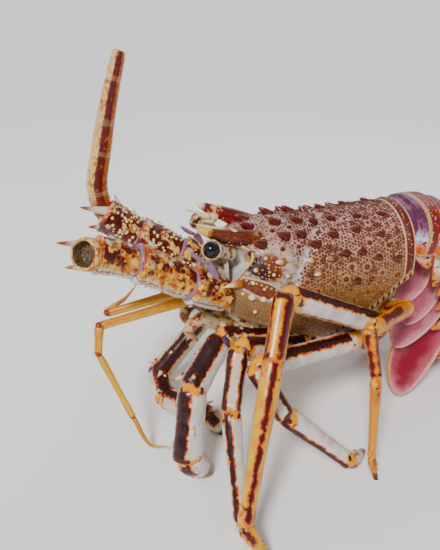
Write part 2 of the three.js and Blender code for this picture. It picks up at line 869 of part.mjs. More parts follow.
for (const [sideName, side] of sides)
  legJoints[sideName].forEach((row, i) => {
    const path = row.map(([x, y, z]) => vec(x, y, z));
    const name = `leg_${sideName}_${i + 1}`;
    const knee = jointPlane(path, 2);
    const wrist = jointPlane(path, 3);
    const thorns = (index, rows) => limbSpines(path[index], path[index + 1], row[index + 1][3], rows, side);
    const upper = between(largest(legStretch(row, 0, 2).subtract(sternumClearance)), null, knee);
    addPiece(name + "_upper", join(upper, thorns(1, i ? meruSpines : firstMerus)), legCream);
    const floor = vec(0, 0, 0);
    if (i === 0) {
      const carpus = between(legStretch(row, 2, 3), knee, wrist);
      addPiece(name + "_carpus", join(carpus, thorns(2, firstCarpus)), legCream);
      const hand = join(between(legStretch(row, 3, 5), wrist, null), thorns(3, firstHand));
      addPiece(name + "_hand", trimmed(hand, floor, up, 0), legCream);
    } else {
      const lower = between(legStretch(row, 2, 5), knee, null);
      addPiece(name + "_lower", trimmed(lower, floor, up, 0), legCream);
    }
  });

// The abdomen curves down behind the carapace. Rows are [length, slope in degrees, half width,
// height of the back over the middle line].
const abdomenRows = [
  [16, 2, 33, 23.5],
  [27, 28, 34, 27],
  [26, 60, 33, 25],
  [25, 84, 31, 23],
  [24, 94, 29, 21.5],
  [24, 62, 26, 19],
];
const tailFanSlope = 30;
const abdomenRoot = vec(1.2, 0, 140);
const ventralDrop = 14; // from the middle line to the belly

const headingDown = (slope) => {
  const a = THREE.MathUtils.degToRad(slope);
  return vec(Math.cos(a), 0, -Math.sin(a));
};
const abdomenPath = [abdomenRoot];
for (const [length, slope] of abdomenRows)
  abdomenPath.push(abdomenPath.at(-1).clone().addScaledVector(headingDown(slope), length));
const telsonEnd = abdomenPath.at(-1).clone().addScaledVector(headingDown(tailFanSlope), 52);

// A section of the abdomen: an arch over a flat belly, square to the heading.
function abdomenRing(centre, heading, half, rise, drop) {
  const over = vec(-heading.z, 0, heading.x);
  const ring = [];
  const count = 14;
  for (let s = 0; s < count; s++) {
    const a = ((s + 0.5) / count) * 2 * Math.PI;
    const y = Math.sign(Math.cos(a)) * Math.abs(Math.cos(a)) ** 0.85 * half;
    const up01 = Math.sin(a);
    const z = up01 > 0 ? up01 ** 0.9 * rise : -(Math.abs(up01) ** 0.5) * drop;
    ring.push(centre.clone().addScaledVector(over, z).add(vec(0, y, 0)));
  }
  return ring;
}

function abdomenSegment(index) {
  const [from, to] = [abdomenPath[index], abdomenPath[index + 1]];
  const [, slope, half, rise] = abdomenRows[index];
  const next = abdomenRows[Math.min(index + 1, abdomenRows.length - 1)];
  const heading = headingDown(slope);
  const shrink = 1 - 0.07 * index;
  const steps = [[-0.25, 0.94], [0.16, 0.94], [0.28, 1.02], [0.9, 1.03], [1.3, 0.96]];
  const rings = steps.map(([t, swell]) => {
    const centre = from.clone().lerp(to, t);
    const width = THREE.MathUtils.lerp(half, next[2], t) * swell;
    const back = THREE.MathUtils.lerp(rise, next[3], t * 0.5) * swell;
    return abdomenRing(centre, heading, width, back, ventralDrop * shrink);
  });
  const parts = [loft(rings)];
  const over = vec(-heading.z, 0, heading.x);
  for (let g = 0; g < segmentGranules; g++) {
    const a = THREE.MathUtils.degToRad(-66 + (132 * g) / (segmentGranules - 1));
    const out = vec(0, Math.sin(a), 0).addScaledVector(over, Math.cos(a));
    const seat = from
      .clone()
      .lerp(to, 0.7)
      .add(vec(0, Math.sin(a) * half, 0))
      .addScaledVector(over, Math.abs(Math.cos(a)) ** 0.9 * rise * 0.98);
    parts.push(spine(seat, out, 1.6, 1.7, 4));
  }
  const below = vec(-heading.z, 0, heading.x).negate();
  const downwards = below.z < 0 ? below : below.negate();
  for (const [, side] of sides) {
    const middle = from.clone().lerp(to, 0.55);
    const root = middle.clone().add(vec(0, side * (half - 6), 0)).addScaledVector(downwards, 4);
    const reach = index === 0 ? 16 : 27 * shrink;
    const tip = root
      .clone()
      .add(vec(0, side * 3, 0))
      .addScaledVector(downwards, reach)
      .addScaledVector(heading, 7);
    const outline = (u) => 9.5 * shrink * (1 - u) ** 0.6 + 1;
    parts.push(blade({ root, tip, across: heading, outline, thickness: 3, steps: 3, columns: 2 }));
  }
  const start = { point: from, normal: index ? jointPlane(abdomenPath, index).normal : vec(1, 0, 0) };
  const endNormal = index + 2 < abdomenPath.length ? jointPlane(abdomenPath, index + 1).normal : heading;
  return between(join(parts), start, { point: to, normal: endNormal });
}

for (let i = 0; i < abdomenRows.length; i++) addPiece(`abdomen_${i + 1}`, abdomenSegment(i), abdomenPurple);

// The tail fan: a middle plate and, on each side, two blades on one short root.
const fanHeading = headingDown(tailFanSlope);
const fanOver = vec(-fanHeading.z, 0, fanHeading.x);
const fanRoot = abdomenPath.at(-1).clone();
const tailOutline = (width) => (u) => {
  const swell = 0.72 + 0.28 * Math.sin(Math.PI * Math.min(u * 0.9, 0.5));
  return width * swell * (1 - 0.32 * u ** 6);
};
addPiece(
  "telson",
  trimmed(
    blade({
      root: fanRoot.clone().addScaledVector(fanHeading, -2),
      tip: telsonEnd,
      across: vec(0, 1, 0),
      outline: tailOutline(15),
      thickness: 4,
      steps: 5,
    }),
    fanRoot,
    headingDown(abdomenRows.at(-1)[1]),
  ),
  abdomenPurple,
);
for (const [sideName, side] of sides) {
  const blades = [18, 42].map((spread, k) => {
    const a = THREE.MathUtils.degToRad(spread);
    const heading = fanHeading.clone().multiplyScalar(Math.cos(a)).add(vec(0, side * Math.sin(a), 0));
    const start = fanRoot
      .clone()
      .add(vec(0, side * (20 + 2 * k), 0))
      .addScaledVector(fanHeading, 4)
      .addScaledVector(fanOver, -3.8);
    return blade({
      root: start,
      tip: start.clone().addScaledVector(heading, 52 - 3 * k).add(vec(0, 0, -1.5 * k)),
      across: vec(0, 1, 0),
      outline: tailOutline(12.5),
      thickness: 2,
      steps: 5,
      columns: 2,
    });
  });
  const knuckle = bar(
    [
      fanRoot.clone().add(vec(0, side * 19, 0)).addScaledVector(fanHeading, -3),
      fanRoot.clone().add(vec(0, side * 23, 0)).addScaledVector(fanHeading, 12).addScaledVector(fanOver, -3),
    ],
    [[0, 5, 4], [0.6, 7, 4.5], [1, 5, 3]],
    vec(0, 1, 0),
    8,
  );
  const fan = trimmed(join(knuckle, blades), fanRoot, headingDown(abdomenRows.at(-1)[1]));
  addPiece("uropod_" + sideName, fan, abdomenPurple);
}

// Pleopods: one soft leaf below each side of the second to the fifth abdomen segment. The
// lower leaves lie outside the upper ones.
const inwardsOf = (index) => {
  const heading = headingDown(abdomenRows[index][1]);
  return vec(heading.z, 0, -heading.x);
};
const bellyPoint = (index, share) =>
  abdomenPath[index]
    .clone()
    .lerp(abdomenPath[index + 1], share)
    .addScaledVector(inwardsOf(index), ventralDrop * (1 - 0.07 * index));
const leafTurn = 0.36; // how far the rear edge of a leaf stands outwards
const leafBow = 2; // how far the middle line bends forwards, more on the rear leaves
// Rows are [root out from the middle, tip out from the middle, reach forwards, drop, half width].
const leafRows = [
  [12, 22, 22, 36, 12],
  [14, 26.5, 31, 41, 13.5],
  [16, 30, 47, 39, 16],
  [18, 34, 40, 64, 18],
];
for (const [sideName, side] of sides)
  for (let i = 1; i < 5; i++) {
    const [rootOut, tipOut, reach, drop, width] = leafRows[i - 1];
    const root = bellyPoint(i, 0.5).addScaledVector(inwardsOf(i), -1).add(vec(0, side * rootOut, 0));
    const tip = root.clone().add(vec(-reach, side * (tipOut - rootOut), -drop));
    const leaf = blade({
      root,
      tip,
      across: vec(drop, side * leafTurn * Math.hypot(drop, reach), -reach),
      outline: (u) => 1 + width * Math.sin(Math.PI * (0.05 + 0.87 * u ** 0.9)) ** 0.8,
      cup: 0.8 * side,
      bow: -leafBow * (i - 1),
      thickness: sheetThickness,
      steps: 6,
    });
    let piece = leaf;
    for (const k of [i - 1, i, i + 1]) piece = trimmed(piece, bellyPoint(k, 0.5), inwardsOf(k), seam);
    addPiece(`pleopod_${sideName}_${i + 1}`, piece, leafPink);
  }

// The exported model, moved so that its origin is the middle of its footprint.

function meshOf({ name, solid, material }) {
  const { vertProperties, triVerts, numProp } = solid.getMesh();
  const geometry = new THREE.BufferGeometry();
  const flat = new Float32Array((vertProperties.length / numProp) * 3);
  for (let i = 0; i < flat.length / 3; i++)
    flat.set(vertProperties.subarray(i * numProp, i * numProp + 3), i * 3);
  geometry.setAttribute("position", new THREE.BufferAttribute(flat, 3));
  geometry.setIndex(new THREE.BufferAttribute(triVerts, 1));
  geometry.computeVertexNormals();
  const mesh = new THREE.Mesh(geometry, material);
  mesh.name = name;
  return mesh;
}

const body = new THREE.Group();
body.add(...pieces.map(meshOf));
const extent = new THREE.Box3().setFromObject(body);
const centre = extent.getCenter(vec(0, 0, 0));
body.position.set(-centre.x, -centre.y, -extent.min.z);
const lobster = new THREE.Group();
lobster.add(body);

export default lobster;
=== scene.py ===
import bpy
import numpy as np
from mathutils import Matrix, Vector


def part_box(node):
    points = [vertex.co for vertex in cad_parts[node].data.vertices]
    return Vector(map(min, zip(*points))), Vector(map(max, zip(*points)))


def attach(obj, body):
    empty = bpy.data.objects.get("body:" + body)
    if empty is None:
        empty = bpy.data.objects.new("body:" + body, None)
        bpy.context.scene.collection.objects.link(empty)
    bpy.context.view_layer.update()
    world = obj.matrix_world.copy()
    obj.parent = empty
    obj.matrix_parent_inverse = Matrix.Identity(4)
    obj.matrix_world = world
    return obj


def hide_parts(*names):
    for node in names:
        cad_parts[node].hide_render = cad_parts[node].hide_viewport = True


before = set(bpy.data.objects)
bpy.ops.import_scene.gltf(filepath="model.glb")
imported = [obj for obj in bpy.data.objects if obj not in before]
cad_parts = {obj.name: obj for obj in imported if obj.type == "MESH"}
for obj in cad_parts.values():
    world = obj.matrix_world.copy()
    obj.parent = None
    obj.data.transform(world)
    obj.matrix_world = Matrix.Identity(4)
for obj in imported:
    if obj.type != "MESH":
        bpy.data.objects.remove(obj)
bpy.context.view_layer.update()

# the drawing's zero in the frame: the carapace ends at x = 0 and the tail plate is centred on y = 0
tailLow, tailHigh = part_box("telson")
shift = np.array([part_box("carapace")[1].x, (tailLow.y + tailHigh.y) / 2, 0])


def inFrame(points):  # millimetres of the drawing to metres of the frame
    return np.asarray(points, float) / 1000 + shift


# Camera, at the photograph's viewing angle
view = {
    "place": (-214.0, -368.0, 315.0),
    "azimuth": -12.0,  # turned from looking along +Y
    "elevation": 28.0,
    "lens": 37.5,  # on a 36 mm sensor, along the frame's long side
    "nearest": 0.01,  # metres, where the view begins
}


def addCamera():
    turn, lift = np.radians(view["azimuth"]), np.radians(view["elevation"])
    data = bpy.data.cameras.new("camera")
    data.lens = view["lens"]
    data.clip_start = view["nearest"]
    camera = bpy.data.objects.new("camera", data)
    camera.location = inFrame(view["place"])
    camera.rotation_euler = (np.pi / 2 - lift, 0, turn)
    bpy.context.scene.collection.objects.link(camera)
    bpy.context.scene.camera = camera


addCamera()
print("camera ready")


# Sums on arrays

sides = (("left", -1), ("right", 1))  # the sign of y on each side
floorGap = 0.02  # mm that the toes keep above the floor


def vec(*values):
    return np.array(values, float)


def mirror(point, side):
    return np.array(point, float) * (1, side, 1)


def unit(v):
    return v / np.maximum(np.linalg.norm(v, axis=-1, keepdims=True), 1e-9)


def dot(a, b):
    return (a * b).sum(-1, keepdims=True)


def ramp(value, low, high):  # smooth step from 0 at low to 1 at high
    t = np.clip((value - low) / (high - low), 0, 1)
    return t * t * (3 - 2 * t)


def hump(value, centre, width):  # a bell of height 1 at the centre
    return np.exp(-(((value - centre) / width) ** 2))


def signedPower(value, power):
    return np.sign(value) * np.abs(value) ** power


def fullTurn(corners):  # the angles all the way round a section, as a row
    return np.linspace(0, 2 * np.pi, corners, endpoint=False)[None, :]


def turnFrom(turn, place):  # how far round from a place on the section, -pi to pi
    return (turn - place + np.pi) % (2 * np.pi) - np.pi


def marksAlong(path):  # the length from the first point to each point
    return np.concatenate([[0], np.cumsum(np.linalg.norm(np.diff(path, axis=0), axis=1))])


def spread(origin, *pairs):  # the origin plus direction * amount for each pair
    for direction, amount in pairs:
        origin = origin + direction * amount[..., None]
    return origin


# A smooth value at x through rows of [x, value, value, ...]: cubic pieces whose slopes come
# from the neighbouring rows.
def smoothRow(rows, x, column):
    rows = np.asarray(rows, float)
    place, value = rows[:, 0], rows[:, column]
    index = np.arange(len(rows))
    last = index[-1]
    before, after = np.maximum(index - 1, 0), np.minimum(index + 1, last)
    slope = (value[after] - value[before]) / (place[after] - place[before])
    k = np.clip(np.searchsorted(place, x, side="right") - 1, 0, last - 1)
    span = place[k + 1] - place[k]
    t = np.clip((x - place[k]) / span, 0, 1)
    keep = (1 + 2 * t) * (1 - t) ** 2
    bend = slope[k] * t * (1 - t) ** 2 + slope[k + 1] * (t - 1) * t**2
    return value[k] * keep + value[k + 1] * (1 - keep) + span * bend


# Seeded draws between 0 and 1, the same sequence as the solids' own
def drawsFrom(state):
    steps = 2**32
    while True:
        state = (state * 1664525 + 1013904223) % steps
        yield state / steps


# Smooth seeded lumps in space: a sum of sine waves in fixed directions
def lumps(points, size, seed, waves=5):
    rng = np.random.default_rng(seed)
    total = 0
    for k in range(waves):
        direction = unit(rng.normal(size=3)) / size * (0.6 + 0.25 * k)
        total = total + np.sin(points @ direction * 2 * np.pi + rng.uniform(0, 2 * np.pi))
    return total / waves


# A mesh gathered from several surfaces. Each surface is a grid of closed rings, and its fields
# are values on the same grid that the materials read.
class Skin:
    def __init__(self):
        self.points, self.quads, self.triangles, self.fields = [], [], [], []
        self.count = 0

    # grid is (rings, corners, 3) or (copies, rings, corners, 3). root and tip are the points
    # that close its two ends, and a surface that has them is turned to face outwards.
    def add(self, grid, fields=None, root=None, tip=None, flip=False):
        copies = 1 if grid.ndim == 3 else len(grid)
        rings, corners, _ = grid.shape[-3:]
        size = rings * corners
        points = grid.reshape(copies, size, 3)
        i, j = np.meshgrid(np.arange(rings - 1), np.arange(corners), indexing="ij")
        near, far = i * corners, (i + 1) * corners
        beside = (j + 1) % corners
        quads = np.stack([near + j, near + beside, far + beside, far + j], -1).reshape(-1, 4)
        triangles = np.zeros((0, 3), int)
        closed = root is not None
        if closed:
            j, beside = j[0], beside[0]
            last, pole = size - corners, np.full(corners, size)
            first = np.stack([beside, j, pole], -1)
            triangles = np.concatenate([first, np.stack([last + j, last + beside, pole + 1], -1)])
            points = np.concatenate([points, *(np.reshape(p, (copies, 1, 3)) for p in (root, tip))], 1)
            flip = self.volume(points[0], quads, triangles) < 0
        if flip:
            quads, triangles = quads[:, ::-1], triangles[:, ::-1]
        step = points.shape[1]
        start = self.count + step * np.arange(copies)[:, None, None]
        self.quads.append((quads[None] + start).reshape(-1, 4))
        self.triangles.append((triangles[None] + start).reshape(-1, 3))
        self.points.append(points.reshape(-1, 3))
        self.count += copies * step
        kept = {}
        for name, value in (fields or {}).items():
            flat = np.broadcast_to(value, (copies, rings, corners)).reshape(copies, size)
            if closed:  # a pole has the mean value of its ring
                ends = (flat[:, :corners], flat[:, size - corners :])
                flat = np.concatenate([flat, *(end.mean(1, keepdims=True) for end in ends)], 1)
            kept[name] = flat.reshape(-1)
        self.fields.append((copies * step, kept))

    @staticmethod
    def volume(points, quads, triangles):
        corners = np.concatenate([quads[:, :3], quads[:, [0, 2, 3]], triangles])
        a, b, c = (points[corners[:, k]] for k in range(3))
        return (a * np.cross(b, c)).sum()

    def build(self, name, material, slot, *nodes):
        points = inFrame(np.concatenate(self.points))
        quads, triangles = np.concatenate(self.quads), np.concatenate(self.triangles)
        mesh = bpy.data.meshes.new(name)
        mesh.vertices.add(len(points))
        mesh.vertices.foreach_set("co", points.astype(np.float32).ravel())
        loops = np.concatenate([quads.ravel(), triangles.ravel()]).astype(np.int32)
        mesh.loops.add(len(loops))
        mesh.loops.foreach_set("vertex_index", loops)
        starts = np.concatenate(
            [4 * np.arange(len(quads)), 4 * len(quads) + 3 * np.arange(len(triangles))]
        )
        mesh.polygons.add(len(starts))
        mesh.polygons.foreach_set("loop_start", starts.astype(np.int32))
        mesh.polygons.foreach_set("use_smooth", np.ones(len(starts), bool))
        mesh.update(calc_edges=True)
        for field in sorted({key for _, kept in self.fields for key in kept}):
            values = np.concatenate([kept.get(field, np.zeros(size)) for size, kept in self.fields])
            layer = mesh.attributes.new(field, "FLOAT", "POINT")
            layer.data.foreach_set("value", values.astype(np.float32))
        mesh.materials.append(material)
        piece = bpy.data.objects.new(name, mesh)
        bpy.context.scene.collection.objects.link(piece)
        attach(piece, "root")
        if nodes:
            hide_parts(*nodes)


# A round bar along a path. Its rows are [share of the length, half width, half height], or
# [share, radius] where it is round. level is the direction that its width keeps to, so that the
# bar doesn't twist.
class Tube:
    nudge = 0.01  # share of the length over which a direction is read

    def __init__(self, path, rows, level=(0, 1, 0)):
        path = np.array(path, float)
        marks = marksAlong(path)
        self.length = marks[-1]
        self.path = np.column_stack([marks / self.length, path])
        self.rows = np.array([row if len(row) == 3 else [*row, row[1]] for row in rows], float)
        self.level = np.array(level, float)

    def centre(self, t):
        return np.stack([smoothRow(self.path, t, k) for k in (1, 2, 3)], -1)

    def around(self, t):  # a little before and a little behind
        return np.maximum(t - self.nudge, 0), np.minimum(t + self.nudge, 1)

    def axes(self, t):
        low, high = self.around(t)
        heading = unit(self.centre(high) - self.centre(low))
        across = unit(self.level - heading * dot(self.level, heading))
        return heading, across, np.cross(heading, across)

    # centre + across * width * sin(turn) + over * height * cos(turn), lifted outwards
    def at(self, t, turn, lift=0.0):
        t, turn = np.broadcast_arrays(np.asarray(t, float), np.asarray(turn, float))
        _, across, over = self.axes(t)
        x = np.sin(turn) * (smoothRow(self.rows, t, 1) + lift)
        z = np.cos(turn) * (smoothRow(self.rows, t, 2) + lift)
        return spread(self.centre(t), (across, x), (over, z))

    def out(self, t, turn):  # the direction that faces out, from two small steps on the surface
        low, high = self.around(t)
        onwards = self.at(high, turn) - self.at(low, turn)
        sideways = self.at(t, turn + 0.05) - self.at(t, turn - 0.05)
        return unit(np.cross(onwards, sideways))


def addTube(skin, tube, rings, corners, fields=None, relief=None):
    t, turn = np.linspace(0, 1, rings)[:, None], fullTurn(corners)
    grid = tube.at(t, turn, relief(t, turn) if relief else 0.0)
    ends = tube.centre(np.array([0.0, 1.0]))
    for points in (grid, ends):
        points[..., 2] = np.maximum(points[..., 2], floorGap)
    skin.add(grid, fields(t, turn) if fields else {}, root=ends[0], tip=ends[1])


def barFields(t, turn):  # what the materials of the antennae and antennules read
    return {"t": t, "top": -np.cos(turn)}


# Copies of one round form, each on its own root and direction. Ring k of a copy lies reach[k]
# along the direction and has the radius size[k]. ends are the heights of the two poles, and
# bend moves a ring by its rise squared.
def addCopies(skin, roots, directions, reach, size, rise, ends, corners, bend, fields):
    roots, directions = np.atleast_2d(roots), unit(np.atleast_2d(directions).astype(float))
    flat = np.abs(directions[:, 2:3]) < 0.8
    across = unit(np.cross(directions, np.where(flat, [[0.0, 0.0, 1.0]], [[1.0, 0.0, 0.0]])))
    over = np.cross(directions, across)
    bend = np.broadcast_to(np.asarray(bend, float), roots.shape)
    turn, rise = fullTurn(corners)[None], rise[None, :, None]
    reach, size = reach[..., None], size[..., None]
    vectors = (v[:, None, None] for v in (roots, directions, across, over, bend))
    origin, onwards, sideways, upwards, bent = vectors
    wide, high = size * np.cos(turn), size * np.sin(turn)
    grid = spread(origin, (onwards, reach), (sideways, wide), (upwards, high), (bent, rise**2))
    values = {"rise": rise}
    for name, value in (fields or {}).items():
        values[name] = np.broadcast_to(value, len(roots))[:, None, None]
    root, tip = (roots + directions * end for end in ends)
    skin.add(grid, values, root=root, tip=tip + bend)


# Thorns: cones that flare at the root. Ring k lies at rise r of the length, and its radius is
# radius * (1 - r) ** taper plus a flare at the root.
def addThorns(
    skin, roots, directions, lengths, radii, bend=0.0, rings=7, corners=9, sink=1.0, fields=None, taper=0.85
):
    count = len(np.atleast_2d(roots))
    lengths, radii = (np.broadcast_to(np.asarray(v, float), count)[:, None] for v in (lengths, radii))
    rise = np.linspace(0, 0.97, rings)
    size = radii * ((1 - rise) ** taper + 0.35 * np.exp(-rise * 9))
    reach = lengths * rise - sink * np.exp(-rise * 14)
    addCopies(skin, roots, directions, reach, size, rise, (-1.5 * sink, lengths), corners, bend, fields)


# Granules: low domes with a flat skirt, in shares of the radius and the height
granuleRings = [  # radius, height, rise
    [1.22, -0.25, 0.0],
    [1.05, 0.1, 0.25],
    [0.86, 0.55, 0.7],
    [0.5, 0.9, 1.0],
]


def addGranules(skin, roots, normals, radii, heights, corners=7, fields=None):
    count = len(np.atleast_2d(roots))
    radii, heights = (np.broadcast_to(np.asarray(v, float), count)[:, None] for v in (radii, heights))
    wide, tall, rise = np.array(granuleRings).T
    ends = (-0.5 * heights, heights)
    addCopies(skin, roots, normals, heights * tall, radii * wide, rise, ends, corners, 0.0, fields)


# Shader maths

class Wire:  # a number that comes out of a shader node, and the sums that Python does on it
    def __init__(self, shader, socket):
        self.shader, self.socket = shader, socket

    def sum(self, operation, *values):
        node = self.shader.node("ShaderNodeMath", {"operation": operation}, dict(enumerate(values)))
        return Wire(self.shader, node.outputs[0])

    def __add__(self, other):
        return self.sum("ADD", self, other)

    def __radd__(self, other):
        return self.sum("ADD", other, self)

    def __sub__(self, other):
        return self.sum("SUBTRACT", self, other)

    def __rsub__(self, other):
        return self.sum("SUBTRACT", other, self)

    def __mul__(self, other):
        return self.sum("MULTIPLY", self, other)

    def __rmul__(self, other):
        return self.sum("MULTIPLY", other, self)

    def __abs__(self):
        return self.sum("ABSOLUTE", self)

    def atLeast(self, other):
        return self.sum("MAXIMUM", self, other)

    def sine(self):
        return self.sum("SINE", self)

    def step(self, low, high):  # smooth step from 0 at low to 1 at high
        sockets = {"Value": self, "From Min": low, "From Max": high}
        node = self.shader.node("ShaderNodeMapRange", {"interpolation_type": "SMOOTHSTEP"}, sockets)
        return Wire(self.shader, node.outputs["Result"])


# A colour written as sRGB hex, as the linear numbers that a shader wants. The studio's view pales
# strong colours, so they are moved away from grey first and darkened a little.
deepening = {"colour": 1.35, "dark": 0.85}


def tint(code):
    values = np.array([int(code[k : k + 2], 16) for k in (1, 3, 5)]) / 255
    linear = np.where(values <= 0.04045, values / 12.92, ((values + 0.055) / 1.055) ** 2.4)
    grey = linear @ vec(0.21, 0.72, 0.07)
    linear = np.clip((grey + (linear - grey) * deepening["colour"]) * deepening["dark"], 0, 1)
    return (*linear, 1.0)


gloss = {"Coat Roughness": 0.12, "Specular IOR Level": 0.34}
softReach = (0.004, 0.002, 0.0012)  # metres that red, green and blue light travel in soft skin
coatShare = 0.4  # of the coat that a material names


class Shader:
    def __init__(self, name):
        self.material = bpy.data.materials.new(name)
        self.material.use_nodes = True
        self.tree = self.material.node_tree
        self.tree.nodes.clear()

    # A node of one type: its settings first, then a value or a link for each socket.
    def node(self, kind, settings=None, sockets=None):
        node = self.tree.nodes.new(kind)
        for key, value in (settings or {}).items():
            setattr(node, key, value)
        for key, value in (sockets or {}).items():
            if isinstance(value, Wire):
                value = value.socket
            if isinstance(value, bpy.types.NodeSocket):
                self.tree.links.new(value, node.inputs[key])
            else:
                node.inputs[key].default_value = value
        return node

    def field(self, name):
        return Wire(self, self.node("ShaderNodeAttribute", {"attribute_name": name}).outputs["Fac"])

    def fields(self, *names):
        return [self.field(name) for name in names]

    def place(self):  # Object coordinates in millimetres
        coordinates = self.node("ShaderNodeTexCoord").outputs["Object"]
        sockets = {"Vector": coordinates, "Scale": (1000, 1000, 1000)}
        return self.node("ShaderNodeMapping", None, sockets).outputs["Vector"]

    def noise(self, size, detail=2.0, rough=0.5):  # size in millimetres
        sockets = {"Vector": self.place(), "Scale": 1 / size, "Detail": detail, "Roughness": rough}
        return Wire(self, self.node("ShaderNodeTexNoise", None, sockets).outputs[0])

    def cells(self, size, spread=1.0):  # distance from the middle of the nearest cell
        sockets = {"Vector": self.place(), "Scale": 1 / size, "Randomness": spread}
        return Wire(self, self.node("ShaderNodeTexVoronoi", {"feature": "F1"}, sockets).outputs["Distance"])

    def mix(self, share, first, second):  # a colour between two, each a hex code or a link
        first, second = (tint(c) if isinstance(c, str) else c for c in (first, second))
        node = self.node("ShaderNodeMix", {"data_type": "RGBA"}, {0: share, 6: first, 7: second})
        return node.outputs[2]

    def bump(self, height, strength=0.4, depth=0.3):  # depth in millimetres
        sockets = {"Height": height, "Strength": strength, "Distance": depth / 1000}
        return self.node("ShaderNodeBump", None, sockets).outputs["Normal"]

    def finish(self, color, roughness, normal=None, coat=0.0, soft=0.0):
        sockets = {"Base Color": color, "Roughness": roughness, "Coat Weight": coat * coatShare, **gloss}
        sockets |= {"Subsurface Weight": soft, "Subsurface Radius": softReach}
        if normal is not None:
            sockets["Normal"] = normal
        surface = self.node("ShaderNodeBsdfPrincipled", None, sockets)
        output = self.node("ShaderNodeOutputMaterial")
        self.tree.links.new(surface.outputs[0], output.inputs["Surface"])
        return self.material


# The carapace

shell = {
    "length": 134.0,
    "archPower": 2.2,
    "widestShare": 0.54,  # height of the widest place between the keel and the back
    "margin": 122,  # degrees from the top to the lower margin at the front edge
    "grooveDepth": 2.2,
    "grooveWidth": 4.0,
    "spineLean": 0.66,  # how far the spines lean forwards
    "tubercleCount": 40,
    "tubercleSpacing": 8.8,
    "granuleSpacing": 2.6,
    "orbitCentre": (-136, 29, 138),
    "orbitRadius": 14.0,
    "orbitNotch": 14.5,  # how far the front edge is set back round the eye
}
barrelRows = [  # x, height of the top, height of the keel, half width
    [-134, 148, 84, 26],
    [-124, 153, 76, 32],
    [-109, 157, 66, 37.5],
    [-87, 158.5, 57, 41],
    [-60, 158.5, 54, 42.5],
    [-25, 161, 66, 41],
    [0, 162.5, 84, 36.5],
]
cutPoint = (-60, 71)  # x and height where the two slanting cuts of the underside meet
cutSlopes = (-0.33, 0.82)


def grooveLine(angle):  # the neck groove leans forwards as it goes down
    return -62 - 0.4 * angle


# Half of a rounded arch over a narrower keel: y = half * sin(a)^p and z = middle + rise *
# cos(a)^p, with p = 2 / archPower, scaled by the groove and the rear rim.
def barrelPoint(x, angle, side=1.0, lift=0.0):
    x, angle = np.broadcast_arrays(np.asarray(x, float), np.asarray(angle, float))
    top, keel, half = (smoothRow(barrelRows, x, k) for k in (1, 2, 3))
    middle = keel + shell["widestShare"] * (top - keel)
    a = np.radians(angle)
    fade = np.clip((98 - angle) / 14, 0, 1)
    groove = fade * shell["grooveDepth"] * hump(x, grooveLine(angle), shell["grooveWidth"])
    rim = hump(x, -3, 3) - 0.9 * hump(x, -10, 2.6)
    scale = 1 + (rim - groove + lift) / half
    power = 2 / shell["archPower"]
    rise = np.where(np.cos(a) > 0, top - middle, middle - keel)
    y = half * np.abs(np.sin(a)) ** power
    z = rise * signedPower(np.cos(a), power)
    return np.stack([x, side * y * scale, middle + z * scale], -1)


def barrelNormal(x, angle, side=1.0):
    along = barrelPoint(x + 1, angle, side) - barrelPoint(x - 1, angle, side)
    across = barrelPoint(x, angle + 2, side) - barrelPoint(x, angle - 2, side)
    return unit(np.cross(along, across) * np.asarray(side, float)[..., None])


def aboveMargin(points):  # the distance above the nearer of the two cuts
    x, z = points[..., 0] - cutPoint[0], points[..., 2] - cutPoint[1]
    return np.minimum(*((z - slope * x) / np.hypot(1, slope) for slope in cutSlopes))


def marginAngle(x):  # where the barrel meets the cuts, by halving an interval of angles
    low, high = np.full_like(x, 60.0), np.full_like(x, 150.0)
    for _ in range(24):
        middle = (low + high) / 2
        above = aboveMargin(barrelPoint(x, middle)) > 0
        low, high = np.where(above, middle, low), np.where(above, high, middle)
    return low


mainSpines = [  # x, degrees from the top, length, root radius
    [-117, 10, 9, 3.4], [-98, 11, 8.5, 3.2], [-82, 12, 7.5, 3], [-70, 12, 6.5, 2.8],
    [-57, 13, 6, 2.6], [-38, 15, 5, 2.4], [-20, 18, 4.5, 2.3], [-112, 38, 9, 3.4],
    [-95, 31, 8.5, 3.3], [-83, 30, 7, 3], [-74, 41, 7, 3], [-60, 33, 6.5, 2.8],
    [-43, 32, 5.5, 2.5], [-26, 42, 4.5, 2.2], [-100, 58, 8, 3], [-79, 57, 6.5, 2.8],
    [-65, 56, 6.5, 2.8], [-74, 69, 6, 2.6], [-54, 53, 6, 2.6], [-42, 55, 5, 2.4],
    [-30, 64, 5, 2.3], [-15, 72, 4.5, 2.2], [-46, 80, 5, 2.3],
]
edgeSpine = {"x": -129, "angle": 84, "length": 12, "radius": 3.06, "spread": 0.25}
whiteKnobs = [  # x, degrees from the top and radius of the knobs under the lens
    [-120, 94, 2.6], [-112.5, 93.5, 2.2], [-106.3, 92.5, 1.8], [-126, 93, 1.2], [-101, 91, 1.2],
]


# Tubercles between the spines, at the same seeded places as in the solid: x, angle, height.
def shellTubercles():
    draw = drawsFrom(11)
    taken = [barrelPoint(x, angle) for x, angle, _, _ in mainSpines]
    found = []
    while len(found) < shell["tubercleCount"]:
        x = -128 + 115 * next(draw)
        angle = 6 + 104 * next(draw)
        height = 1.3 + 0.9 * next(draw)
        point = barrelPoint(x, angle)
        crowded = min(np.linalg.norm(point - other) for other in taken) < shell["tubercleSpacing"]
        inGroove = abs(x - grooveLine(angle)) < shell["grooveWidth"] + 1
        inOrbit = np.linalg.norm(point - shell["orbitCentre"]) < shell["orbitRadius"] + 3
        if crowded or inGroove or inOrbit or aboveMargin(point) < 5:
            continue
        taken.append(point)
        found.append([x, angle, height])
    return found


tubercles = np.array(shellTubercles())


def orbitNotch(angle):  # how far the front edge is set back round the eye
    return shell["orbitNotch"] * hump(angle, 50, 20)


